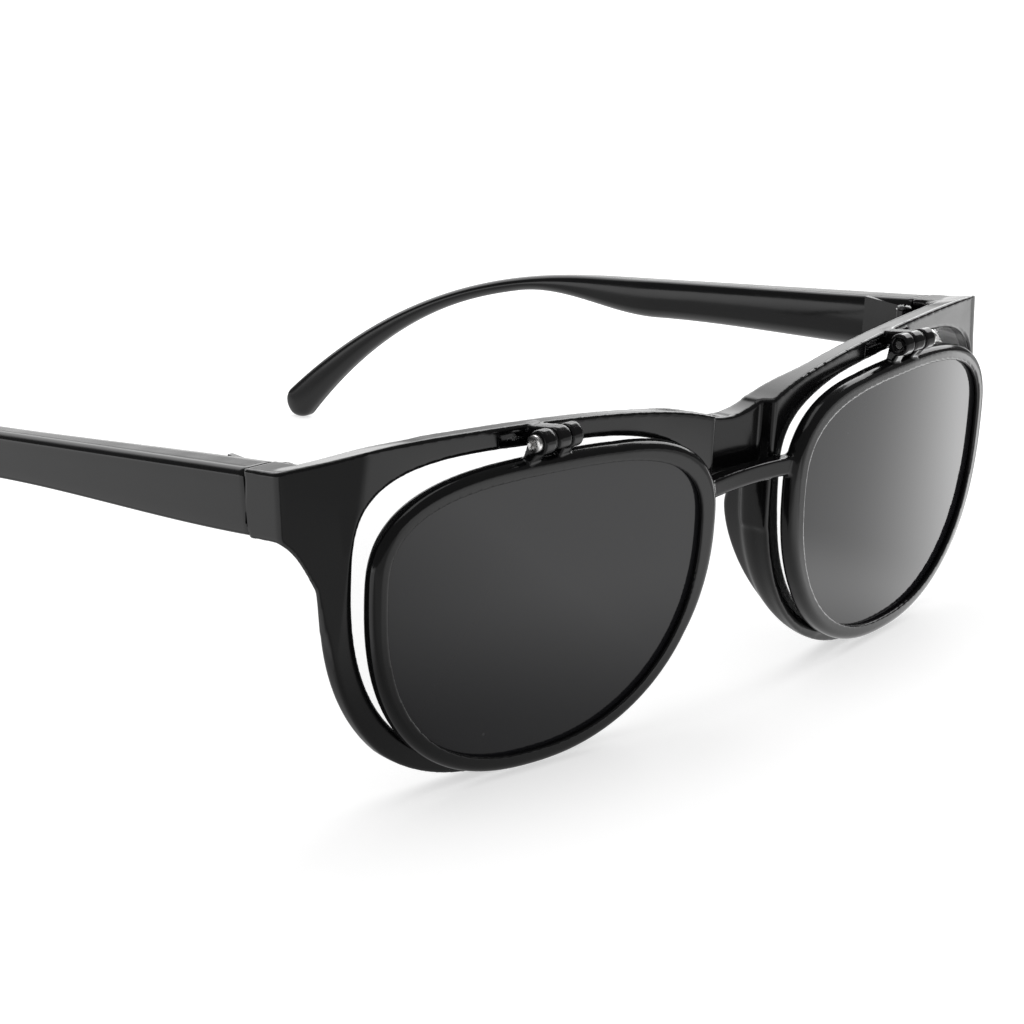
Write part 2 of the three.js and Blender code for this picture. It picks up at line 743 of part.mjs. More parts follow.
const glasses = new THREE.Group();
glasses.add(front, temples);
glasses.rotation.x = restPitch();
glasses.updateMatrixWorld(true);
const extent = new THREE.Box3().setFromObject(glasses, true);
glasses.position.set(0, -(extent.min.y + extent.max.y) / 2, -extent.min.z);

const flipUpGlasses = new THREE.Group();
flipUpGlasses.add(glasses);
flipUpGlasses.updateMatrixWorld(true);

export default flipUpGlasses;
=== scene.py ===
import json
import math

import bpy
import numpy as np
from mathutils import Matrix, Vector


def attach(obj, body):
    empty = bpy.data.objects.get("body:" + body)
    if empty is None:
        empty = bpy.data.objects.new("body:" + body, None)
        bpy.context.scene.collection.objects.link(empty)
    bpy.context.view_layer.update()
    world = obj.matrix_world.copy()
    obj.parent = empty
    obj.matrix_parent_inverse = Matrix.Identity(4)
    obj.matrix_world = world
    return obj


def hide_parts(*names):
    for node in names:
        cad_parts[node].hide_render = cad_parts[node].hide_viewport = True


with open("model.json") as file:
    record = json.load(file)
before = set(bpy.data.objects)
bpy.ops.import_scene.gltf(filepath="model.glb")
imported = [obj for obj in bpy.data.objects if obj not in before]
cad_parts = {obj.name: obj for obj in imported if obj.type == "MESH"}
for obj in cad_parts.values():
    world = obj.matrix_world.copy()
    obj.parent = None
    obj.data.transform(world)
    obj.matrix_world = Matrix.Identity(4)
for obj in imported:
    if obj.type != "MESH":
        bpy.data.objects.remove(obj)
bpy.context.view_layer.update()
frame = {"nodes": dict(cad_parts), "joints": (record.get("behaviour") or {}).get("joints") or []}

# The front's own frame: x to the wearer's left, y back from the dark lenses, z up the front.
# Everything below is in millimetres there, and goes to the table frame through toTable.
joints = {joint["name"]: joint for joint in frame["joints"]}
foldAxis = joints["fold_left_temple"]["axis"]
flipPos = joints["flip_up"]["pos_m"]
hingeAxis = {"y": -0.5, "z": 23.15}
pitch = math.atan2(-foldAxis[1], foldAxis[2])
turn = Matrix.Rotation(pitch, 4, "X")
spot = Vector(flipPos) - turn @ Vector((0, hingeAxis["y"] / 1000, hingeAxis["z"] / 1000))
toTable = Matrix.Translation(spot) @ turn @ Matrix.Scale(0.001, 4)


def tablePoint(x, y, z):
    return toTable @ Vector((x, y, z))


def tableDirection(x, y, z):
    return (turn @ Vector((x, y, z))).normalized()


# Shapes as distance fields: below zero is plastic

def roundBoth(a, b, radius):  # what lies in both, its edge rounded
    u = np.maximum(radius + a, 0)
    v = np.maximum(radius + b, 0)
    return np.minimum(-radius, np.maximum(a, b)) + np.sqrt(u * u + v * v)


def roundEither(a, b, radius):  # both together, with a fillet between them
    u = np.maximum(radius - a, 0)
    v = np.maximum(radius - b, 0)
    return np.maximum(radius, np.minimum(a, b)) - np.sqrt(u * u + v * v)


def softOver(a, b, reach):  # the larger of the two, eased across reach
    h = np.maximum(reach - np.abs(a - b), 0) / reach
    return np.maximum(a, b) + h * h * reach / 4


def softUnder(a, b, reach):
    return -softOver(-a, -b, reach)


def between(value, low, high):
    return np.maximum(low - value, value - high)


def inAll(*fields):  # what lies in every one, with sharp edges
    whole = fields[0]
    for field in fields[1:]:
        whole = np.maximum(whole, field)
    return whole


def partWay(value, start, end):  # 0 up to start, 1 from end on
    return np.clip((value - start) / (end - start), 0, 1)


def outlineDistance(points, u, v):
    points = np.asarray(points, float)
    ends = np.roll(points, -1, axis=0)
    best = np.full(u.shape, 1e9)
    odd = np.zeros(u.shape, bool)
    for (ax, ay), (bx, by) in zip(points, ends):
        dx, dy = bx - ax, by - ay
        length = dx * dx + dy * dy
        if length < 1e-12:
            continue
        share = np.clip(((u - ax) * dx + (v - ay) * dy) / length, 0, 1)
        best = np.minimum(best, (u - ax - share * dx) ** 2 + (v - ay - share * dy) ** 2)
        if ay != by:
            crossing = (ay > v) != (by > v)
            odd ^= crossing & (u < ax + (v - ay) / dy * dx)
    return np.where(odd, -1, 1) * np.sqrt(best)


def distanceTable(points, low, high, cell=0.2):  # an outline's field, read back between its cells
    nu = int(math.ceil((high[0] - low[0]) / cell)) + 1
    nv = int(math.ceil((high[1] - low[1]) / cell)) + 1
    gu, gv = np.meshgrid(low[0] + cell * np.arange(nu), low[1] + cell * np.arange(nv), indexing="ij")
    table = outlineDistance(points, gu, gv).astype(np.float32)

    def read(u, v):
        u, v = np.broadcast_arrays(u, v)
        fu = np.clip((u - low[0]) / cell, 0, nu - 1.001)
        fv = np.clip((v - low[1]) / cell, 0, nv - 1.001)
        iu, iv = fu.astype(np.int32), fv.astype(np.int32)
        fu, fv = fu - iu, fv - iv
        near = table[iu, iv] * (1 - fv) + table[iu, iv + 1] * fv
        far = table[iu + 1, iv] * (1 - fv) + table[iu + 1, iv + 1] * fv
        return near * (1 - fu) + far * fu
    return read


def bezier(p0, p1, p2, p3, steps=24):
    t = np.linspace(0, 1, steps, endpoint=False)[:, None]
    p0, p1, p2, p3 = (np.array(p, float) for p in (p0, p1, p2, p3))
    return list(p0 * (1 - t) ** 3 + p1 * 3 * t * (1 - t) ** 2 + p2 * 3 * t * t * (1 - t) + p3 * t ** 3)


def arc(centre, radius, start, end, steps=24):
    angles = np.radians(np.linspace(start, end, steps))
    return [(centre[0] + radius * math.cos(a), centre[1] + radius * math.sin(a)) for a in angles]


# Scene objects

def addObject(name, data):
    thing = bpy.data.objects.new(name, data)
    bpy.context.scene.collection.objects.link(thing)
    return thing


# A closed quad skin on the field's zero, drawn from a grid that is mirrored about the nose

def skinFromField(name, field, low, high, step, relax=3):
    xs = np.arange(0, high[0] + step, step)
    ys = np.arange(low[1], high[1] + step, step)
    zs = np.arange(low[2], high[2] + step, step)
    half = np.empty((len(xs), len(ys), len(zs)), np.float32)
    chunk = 32
    for start in range(0, len(xs), chunk):
        part = slice(start, start + chunk)
        half[part] = field(*np.meshgrid(xs[part], ys, zs, indexing="ij"))
    grid = np.concatenate([half[:0:-1], half], axis=0)
    first = np.array([-xs[-1], ys[0], zs[0]])
    inside = grid < 0
    cells = np.array(grid.shape) - 1
    count = np.zeros(cells, np.int8)
    corners = [(i, j, k) for i in (0, 1) for j in (0, 1) for k in (0, 1)]
    for i, j, k in corners:
        count += inside[i:i + cells[0], j:j + cells[1], k:k + cells[2]]
    active = np.argwhere((count > 0) & (count < 8))
    number = np.full(cells, -1, np.int64)
    number[tuple(active.T)] = np.arange(len(active))
    total = np.zeros((len(active), 3))
    hits = np.zeros(len(active))
    for a in corners:
        for axis in range(3):
            if a[axis]:
                continue
            b = tuple(1 if n == axis else a[n] for n in range(3))
            fa = grid[tuple((active + a).T)].astype(float)
            fb = grid[tuple((active + b).T)].astype(float)
            cross = (fa < 0) != (fb < 0)
            share = np.where(cross, fa / np.where(cross, fa - fb, 1), 0)
            place = np.tile(np.array(a, float), (len(active), 1))
            place[:, axis] += share
            total += np.where(cross[:, None], place, 0)
            hits += cross
    verts = active + total / hits[:, None]
    faces = []
    for axis in range(3):
        b, c = (axis + 1) % 3, (axis + 2) % 3
        here = [slice(None)] * 3
        ahead = [slice(None)] * 3
        here[axis], ahead[axis] = slice(0, -1), slice(1, None)
        change = inside[tuple(here)] != inside[tuple(ahead)]
        edges = np.argwhere(change)
        edges = edges[(edges[:, b] > 0) & (edges[:, c] > 0)]
        edges = edges[(edges[:, b] < cells[b]) & (edges[:, c] < cells[c])]
        quad = []
        for db, dc in ((-1, -1), (0, -1), (0, 0), (-1, 0)):
            cell = edges.copy()
            cell[:, b] += db
            cell[:, c] += dc
            quad.append(number[tuple(cell.T)])
        quad = np.stack(quad, axis=1)
        flip = ~inside[tuple(edges.T)]
        quad[flip] = quad[flip][:, ::-1]
        faces.append(quad)
    faces = np.concatenate(faces)

    def read(places):
        cell = np.clip(places.astype(np.int32), 0, cells - 1)
        f = places - cell
        value = 0
        for i, j, k in corners:
            weight = ((f[:, 0] if i else 1 - f[:, 0]) * (f[:, 1] if j else 1 - f[:, 1])
                      * (f[:, 2] if k else 1 - f[:, 2]))
            value = value + weight * grid[cell[:, 0] + i, cell[:, 1] + j, cell[:, 2] + k]
        return value

    def settle(places):  # back onto the zero, along the field's slope
        reach, stride = 0.6, 0.35
        value = read(places)
        slope = np.stack([(read(places + reach * axis) - read(places - reach * axis)) / (2 * reach)
                          for axis in np.eye(3)], axis=1)
        move = value[:, None] * slope / np.maximum((slope * slope).sum(1), 1e-9)[:, None]
        size = np.linalg.norm(move, axis=1)[:, None]
        return places - move * np.minimum(1, stride / np.maximum(size, 1e-9))

    pairs = np.concatenate([faces[:, [n, (n + 1) % 4]] for n in range(4)])
    degree = np.bincount(pairs[:, 0], minlength=len(verts)) + np.bincount(pairs[:, 1], minlength=len(verts))
    pull = 0.5
    for _ in range(relax):
        mean = np.stack([np.bincount(pairs[:, 0], verts[pairs[:, 1], n], len(verts))
                         + np.bincount(pairs[:, 1], verts[pairs[:, 0], n], len(verts))
                         for n in range(3)], axis=1) / degree[:, None]
        verts = settle(verts + pull * (mean - verts))
    verts = settle(verts) * step + first
    return meshObject(name, verts, faces)


def meshObject(name, verts, faces):  # verts in the front's frame, in millimetres
    matrix = np.array(toTable)
    places = np.asarray(verts, float) @ matrix[:3, :3].T + matrix[:3, 3]
    mesh = bpy.data.meshes.new(name)
    mesh.from_pydata([tuple(p) for p in places], [], [tuple(int(i) for i in f) for f in faces])
    mesh.polygons.foreach_set("use_smooth", [True] * len(mesh.polygons))
    mesh.update()
    print("made", name, len(mesh.polygons), "faces")
    return addObject(name, mesh)


# Node trees, for materials and for hardware

def newTree(name, kind, inputs, output, outputKind):
    tree = bpy.data.node_groups.new(name, kind)
    for label, socketKind, value in inputs:
        socket = tree.interface.new_socket(label, in_out="INPUT", socket_type="NodeSocket" + socketKind)
        if value is not None:
            socket.default_value = value
    tree.interface.new_socket(output, in_out="OUTPUT", socket_type="NodeSocket" + outputKind)
    return tree, tree.nodes.new("NodeGroupInput").outputs


def endTree(tree, result):
    tree.links.new(result, tree.nodes.new("NodeGroupOutput").inputs[0])
    return tree


def put(tree, kind, feeds, **settings):  # a new node, fed by sockets or by plain values
    node = tree.nodes.new(kind)
    for key, value in settings.items():
        setattr(node, key, value)
    for label, feed in feeds.items():
        for part in feed if isinstance(feed, list) else [feed]:
            if isinstance(part, bpy.types.NodeSocket):
                tree.links.new(part, node.inputs[label])
            else:
                node.inputs[label].default_value = part
    return node.outputs[0]


def calc(tree, operation, *terms):
    return put(tree, "ShaderNodeMath", dict(enumerate(terms)), operation=operation)


def ease(tree, value, low, high, start, end):
    feeds = {"Value": value, "From Min": low, "From Max": high, "To Min": start, "To Max": end}
    return put(tree, "ShaderNodeMapRange", feeds, interpolation_type="SMOOTHSTEP")


def makeDust():  # sparse light specks
    tree, given = newTree("dustSpecks", "ShaderNodeTree", [
        ("Place", "Vector", None), ("Scale", "Float", 400.0), ("Size", "Float", 0.12),
        ("Amount", "Float", 0.3)], "Mask", "Float")
    distance = put(tree, "ShaderNodeTexVoronoi", {
        "Vector": given["Place"], "Scale": given["Scale"], "Randomness": 1.0})
    red = put(tree, "ShaderNodeSeparateColor", {"Color": distance.node.outputs["Color"]})
    near = calc(tree, "LESS_THAN", distance, given["Size"])
    few = calc(tree, "LESS_THAN", red, given["Amount"])
    both = calc(tree, "MULTIPLY", near, few)
    return endTree(tree, calc(tree, "MULTIPLY", both, red.node.outputs["Green"]))


def makeSmudge():  # slow cloudiness of handled gloss
    tree, given = newTree("handledGloss", "ShaderNodeTree", [
        ("Place", "Vector", None), ("Scale", "Float", 60.0), ("Low", "Float", 0.1),
        ("High", "Float", 0.2)], "Roughness", "Float")
    noise = put(tree, "ShaderNodeTexNoise", {
        "Vector": given["Place"], "Scale": given["Scale"], "Detail": 5.0, "Roughness": 0.6})
    return endTree(tree, put(tree, "ShaderNodeMapRange", {
        "Value": noise, "From Min": 0.35, "From Max": 0.7, "To Min": given["Low"], "To Max": given["High"]}))


def makeRipple():  # faint unevenness of a moulded or turned skin
    tree, given = newTree("skinRipple", "ShaderNodeTree", [
        ("Place", "Vector", None), ("Coarse", "Float", 90.0), ("Fine", "Float", 1500.0),
        ("Share", "Float", 0.1)], "Height", "Float")
    slow, fast = [
        put(tree, "ShaderNodeTexNoise", {"Vector": given["Place"], "Scale": given[scale], "Detail": detail})
        for scale, detail in (("Coarse", 1.0), ("Fine", 2.0))]
    return endTree(tree, put(tree, "ShaderNodeMix", {0: given["Share"], 2: slow, 3: fast}))


groups = {"dust": makeDust(), "smudge": makeSmudge(), "ripple": makeRipple()}


def finishMaterial(name, look):
    material = bpy.data.materials.new(name)
    material.use_nodes = True
    tree = material.node_tree
    shader = tree.nodes["Principled BSDF"]
    for label, value in look["plain"].items():
        shader.inputs[label].default_value = value
    place = tree.nodes.new("ShaderNodeTexCoord").outputs["Object"]
    effects = {
        part: put(tree, "ShaderNodeGroup", {"Place": place, **look[part]}, node_tree=groups[part])
        for part in ("dust", "smudge", "ripple")}
    tint = put(tree, "ShaderNodeMix", {
        0: effects["dust"], 6: look["colour"], 7: look["dustColour"]}, data_type="RGBA")
    bump = put(tree, "ShaderNodeBump", {
        "Strength": look["bumpStrength"], "Distance": look["bumpDistance"], "Height": effects["ripple"]})
    tree.links.new(tint.node.outputs[2], shader.inputs["Base Color"])
    tree.links.new(effects["smudge"], shader.inputs["Roughness"])
    tree.links.new(bump, shader.inputs["Normal"])
    return material


blackGloss = finishMaterial("blackGloss", {
    "plain": {"IOR": 1.5, "Specular IOR Level": 0.5},
    "colour": (0.0045, 0.0045, 0.0049, 1), "dustColour": (0.11, 0.11, 0.11, 1),
    "dust": {"Scale": 330.0, "Size": 0.07, "Amount": 0.1},
    "smudge": {"Scale": 70.0, "Low": 0.1, "High": 0.17},
    "ripple": {"Coarse": 110.0, "Fine": 1400.0, "Share": 0.04},
    "bumpStrength": 0.25, "bumpDistance": 0.0002})
darkLensGloss = finishMaterial("darkLensGloss", {
    "plain": {"IOR": 1.52, "Specular IOR Level": 0.5},
    "colour": (0.017, 0.017, 0.019, 1), "dustColour": (0.13, 0.13, 0.13, 1),
    "dust": {"Scale": 260.0, "Size": 0.06, "Amount": 0.12},
    "smudge": {"Scale": 40.0, "Low": 0.05, "High": 0.1},
    "ripple": {"Coarse": 40.0, "Fine": 900.0, "Share": 0.02},
    "bumpStrength": 0.06, "bumpDistance": 0.0002})
clearLensGloss = finishMaterial("clearLensGloss", {
    "plain": {"IOR": 1.5, "Transmission Weight": 1.0, "Alpha": 0.1},
    "colour": (0.97, 0.98, 0.98, 1), "dustColour": (0.7, 0.7, 0.7, 1),
    "dust": {"Scale": 260.0, "Size": 0.05, "Amount": 0.08},
    "smudge": {"Scale": 40.0, "Low": 0.02, "High": 0.05},
    "ripple": {"Coarse": 30.0, "Fine": 700.0, "Share": 0.02},
    "bumpStrength": 0.03, "bumpDistance": 0.0002})
brightSteel = finishMaterial("brightSteel", {
    "plain": {"Metallic": 1.0},
    "colour": (0.9, 0.89, 0.88, 1), "dustColour": (0.5, 0.49, 0.47, 1),
    "dust": {"Scale": 2500.0, "Size": 0.2, "Amount": 0.2},
    "smudge": {"Scale": 900.0, "Low": 0.14, "High": 0.3},
    "ripple": {"Coarse": 1200.0, "Fine": 6000.0, "Share": 0.4},
    "bumpStrength": 0.2, "bumpDistance": 0.00005})
blackSteel = finishMaterial("blackSteel", {
    "plain": {"IOR": 1.6, "Specular IOR Level": 0.6},
    "colour": (0.006, 0.006, 0.0062, 1), "dustColour": (0.06, 0.06, 0.06, 1),
    "dust": {"Scale": 900.0, "Size": 0.06, "Amount": 0.1},
    "smudge": {"Scale": 300.0, "Low": 0.16, "High": 0.26},
    "ripple": {"Coarse": 300.0, "Fine": 2500.0, "Share": 0.1},
    "bumpStrength": 0.1, "bumpDistance": 0.00005})
nylonMatt = finishMaterial("nylonMatt", {
    "plain": {"IOR": 1.53},
    "colour": (0.016, 0.016, 0.017, 1), "dustColour": (0.1, 0.1, 0.1, 1),
    "dust": {"Scale": 900.0, "Size": 0.1, "Amount": 0.1},
    "smudge": {"Scale": 300.0, "Low": 0.45, "High": 0.6},
    "ripple": {"Coarse": 800.0, "Fine": 4000.0, "Share": 0.4},
    "bumpStrength": 0.3, "bumpDistance": 0.00005})
print("finishes ready")


def dress(piece, material):
    piece.data.materials.clear()
    piece.data.materials.append(material)


# Lens outlines, as in the solids

clearOpening = {"halfWidth": 28.7, "top": 21.4, "bottom": -22.0, "waist": 7.0,
                "lean": 1.2, "tilt": 0.05, "upperPower": 3.4}
darkOpening = {"halfWidth": 25.9, "top": 18.1, "bottom": -20.8, "waist": 5.5,
               "lean": 1.6, "tilt": 0.0, "upperPower": 3.0}
lowerPower = 2.27
lensSpread = 36.9
rimTurn = math.radians(8)
rimSetback = 3.5
rimSwell = {"amount": 0.8, "at": math.radians(157), "spread": math.radians(52)}  # flip rims, upper nose side


def lensOutline(lens, grow=0.0, swell=None, steps=360):
    points = []
    angles = [2 * math.pi * n / steps for n in range(steps)]
    for angle in angles:
        up = math.sin(angle) >= 0
        power = lens["upperPower"] if up else lowerPower
        bent = [math.copysign(abs(v) ** (2 / power), v) for v in (math.cos(angle), math.sin(angle))]
        height = lens["top"] - lens["waist"] if up else lens["waist"] - lens["bottom"]
        u = lens["halfWidth"] * bent[0] + (0 if up else lens["lean"] * bent[1] ** 2)
        lift = lens["tilt"] * bent[1] * u if up else 0
        points.append((u, lens["waist"] + height * bent[1] + lift))
    if grow == 0:
        return points
    grown = []
    for n, (u, v) in enumerate(points):
        du = points[(n + 1) % steps][0] - points[n - 1][0]
        dv = points[(n + 1) % steps][1] - points[n - 1][1]
        off = min(1, abs(angles[n] - swell["at"]) / swell["spread"])
        out = (grow + swell["amount"] * math.cos(off * math.pi / 2)) / math.hypot(du, dv)
        grown.append((u + dv * out, v - du * out))
    return grown


def rimY(x):
    return rimSetback / math.cos(rimTurn) + (x - lensSpread) * math.tan(rimTurn)


# Flip hinge, outwards from the nose

flipHinge = {
    "centre": 37.8, "gap": 0.1, "washer": 0.25, "bore": 0.7, "boreReach": 1.0,
    "nutDepth": 1.3, "nutRadius": 1.2,
    "lugWidth": 2.0, "lugRadius": 1.65, "lugEdge": 0.2, "lugFillet": 0.25,
    "neckSetback": 1.0, "neckBack": 0.45,
    "frameLugWidth": 2.4, "frameLugRadius": 1.65, "frameLugDepth": 1.05, "frameLugEdge": 0.25,
    "frameLugFillet": 0.2, "rootRise": 0.5, "rootDrop": 0.8}
stack = 2 * flipHinge["lugWidth"] + flipHinge["frameLugWidth"] + flipHinge["washer"] + 3 * flipHinge["gap"]
innerLug = [flipHinge["centre"] - stack / 2, flipHinge["centre"] - stack / 2 + flipHinge["lugWidth"]]
frameLug = [innerLug[1] + flipHinge["gap"], innerLug[1] + flipHinge["gap"] + flipHinge["frameLugWidth"]]
outerLug = [frameLug[1] + 2 * flipHinge["gap"] + flipHinge["washer"]]
outerLug.append(outerLug[0] + flipHinge["lugWidth"])


# Main front. A span is where along x, y or z something comes in, from its start to its full amount.

mainFront = {
    "halfWidth": 72.0, "thickness": 3.0, "rimWidth": 2.0,
    "grid": 0.3, "box": ((0, -3.2, -25.0), (73.0, 22.0, 26.0)),
    "edge": 0.4, "openEdge": 0.45, "backEdge": 1.6, "browEdgeCut": 0.08, "browEdgeSpan": (14, 18),
    "jointEdgeCut": 0.3, "jointEdgeSpan": (-3, -1),
    "browTop": 24.55, "browPeak": 58.0, "browNose": 19.75, "browShoulder": (13.5, 1.6),
    "browMiddle": (30, 0.3), "browHandle": 4.0, "browDip": 0.2, "browSoft": (0.05, 1.2), "lowerSpan": (14, 6),
    "cheek": (0.4, 0.6), "cheekFoot": (0.1, 1), "noseFoot": 0.4,
    "topFall": (0.1, 0.36, 0.24), "fallSpan": (52, 65), "fallEndSpan": (67, 72),
    "sweepStart": 65.0, "sweepLean": 0.1, "sweepSoft": 0.3, "wrap": 0.8, "wrapSpan": (11, 17),
    "endTop": 21.4, "endHeight": 8.8, "endDepth": 6.5, "endFillet": 5.0, "endWidth": 5.5, "endLap": 1.0,
    "cornerX": 66.5, "cornerAbove": 27, "cornerBrow": 2.0, "cornerSoft": (0.05, 1.8), "cornerSpan": (19, 14),
    "lip": 0.45, "noseLip": (0.2, 0.4), "noseLipSpan": (24, 16), "noseLipLower": (12, 2),
    "broad": 1.1, "broadSpan": (46, 60), "broadLower": (16, 10),
    "gussetFrom": 57.0, "gusset": 0.8, "gussetFoot": 2.0, "gussetSoft": 1.5}
bridge = {
    "face": 1.3, "thickness": 3.6, "half": 5.6, "reach": 7.2, "top": 18.8, "height": 10.4, "rise": 0.95,
    "arch": 0.9, "ramp": 3.0, "rampFillet": 0.3, "rampEdge": 0.5, "rearReach": 8.5, "rearTaper": 0.15,
    "rearSoft": 1.0, "rimSoft": 0.8}
nosePad = {
    "top": 8.5, "bottom": -20.0, "crest": 1.5, "back": 9.2, "thickness": 2.4, "flare": 0.2,
    "root": 1.7, "round": 1.1, "belly": 0.7, "blend": 0.8}
hingePocket = {"toNose": 3.4, "toTemple": 1.8, "top": 23.1, "depth": 1.6, "lip": 0.4, "edge": 0.15}
templeHinge = {
    "leaf": 0.8, "length": 4.2, "templeLength": 9.0, "knuckle": 1.4, "knuckleHeight": 1.9, "knuckleGap": 0.12,
    "sunk": 0.5, "pinShift": 0.1, "pinSpare": 0.1, "room": 0.15, "seatReach": 2.0}
templeSlope = math.radians(9.4)
fallPerLength = math.tan(templeSlope)
endFace = rimY(mainFront["sweepStart"]) + mainFront["halfWidth"] - mainFront["sweepStart"]
jointY = endFace + mainFront["endDepth"]
jointTop = mainFront["endTop"] - fallPerLength * mainFront["endDepth"]
innerX = mainFront["halfWidth"] - mainFront["endWidth"]
leafX = innerX - templeHinge["leaf"] + templeHinge["sunk"]
pinX = leafX - templeHinge["knuckle"] + templeHinge["pinShift"]
hingeStack = 3 * templeHinge["knuckleHeight"] + 2 * templeHinge["knuckleGap"]
knuckleLow = jointTop - mainFront["endHeight"] / 2 - hingeStack / 2


def topFall(x):  # how steeply the brow's top falls backwards: flush with the end piece at the corner
    start, corner, end = mainFront["topFall"]
    t = partWay(x, *mainFront["fallSpan"])
    last = partWay(x, *mainFront["fallEndSpan"])
    return start + (corner - start) * t * t * (3 - 2 * t) + (end - corner) * last


def browOutline():
    m = mainFront
    peak, top, wide, handle = m["browPeak"], m["browTop"], m["halfWidth"], m["browHandle"]
    rimReach = lensSpread + clearOpening["halfWidth"] + m["rimWidth"]
    noseReach = lensSpread - clearOpening["halfWidth"] - m["rimWidth"]
    high = m["endTop"] + topFall(wide) * (endFace - rimY(wide))
    low = high - m["endHeight"]
    nose = (bridge["half"], m["browNose"])
    shoulder, middle = [(x, top - drop) for x, drop in (m["browShoulder"], m["browMiddle"])]
    inset, swell = m["cheek"]
    foot, footZ = m["cheekFoot"]
    points = bezier(nose, shoulder, middle, (peak, top), 40)
    points += bezier((peak, top), (peak + handle, top), (wide - handle, top - m["browDip"]), (wide, high), 30)
    points += bezier((wide, low), (wide - inset, low), (rimReach + swell, low / 2),
                     (rimReach + foot, footZ), 30)
    points += bezier((noseReach + m["noseFoot"], footZ), (noseReach, bridge["top"] / 3),
                     (bridge["half"], bridge["top"] / 2), nose, 30)
    return points


def padOutline():  # side view of a nose pad
    root, back, top, crest, bottom = [nosePad[key] for key in ("root", "back", "top", "crest", "bottom")]
    depth = back - root
    upper = bezier((root, top), (root + depth / 2, top), (back, (top + crest) / 2), (back, crest))
    lower = bezier((back, crest), (back, crest - top / 2), (root + depth * nosePad["belly"], bottom / 2),
                   (root, bottom))
    return upper + lower + [(root, bottom)]


frontView = ((-2, -27), (76, 29))  # corners of the tables, in millimetres
sideView = ((-4, -25), (24, 28))


def sidePolygon(points):
    return distanceTable(points, *sideView)


clearTable = distanceTable([(x + lensSpread, z) for x, z in lensOutline(clearOpening)], *frontView)
browTable = distanceTable(browOutline(), *frontView)
endLow = mainFront["endTop"] - mainFront["endHeight"]
filletLow = endLow - mainFront["endFillet"]
cornerFace = rimY(mainFront["cornerX"])
lap, above = mainFront["endLap"], mainFront["cornerAbove"]
cornerTable = sidePolygon([
    (cornerFace, above), (cornerFace, filletLow), (cornerFace + mainFront["thickness"], filletLow),
    (endFace + lap, endLow), (endFace + lap, above)])
blockTable = sidePolygon([
    (endFace - lap, mainFront["endTop"] + lap * fallPerLength), (endFace - lap, endLow + lap * fallPerLength),
    (jointY - mainFront["endHeight"] * fallPerLength, jointTop - mainFront["endHeight"]), (jointY, jointTop)])
padTable = sidePolygon(padOutline())
lugRoot = rimY(frameLug[0]) + mainFront["thickness"] / 2
lugFoot, lugHead = clearOpening["top"] + flipHinge["rootRise"], mainFront["browTop"] - flipHinge["rootDrop"]
lugTable = sidePolygon(
    [(lugRoot, lugFoot), (lugRoot, lugHead)]
    + arc((hingeAxis["y"], hingeAxis["z"]), flipHinge["frameLugRadius"], 90,
          180 + math.degrees(math.asin(flipHinge["frameLugDepth"] / flipHinge["frameLugRadius"]))))


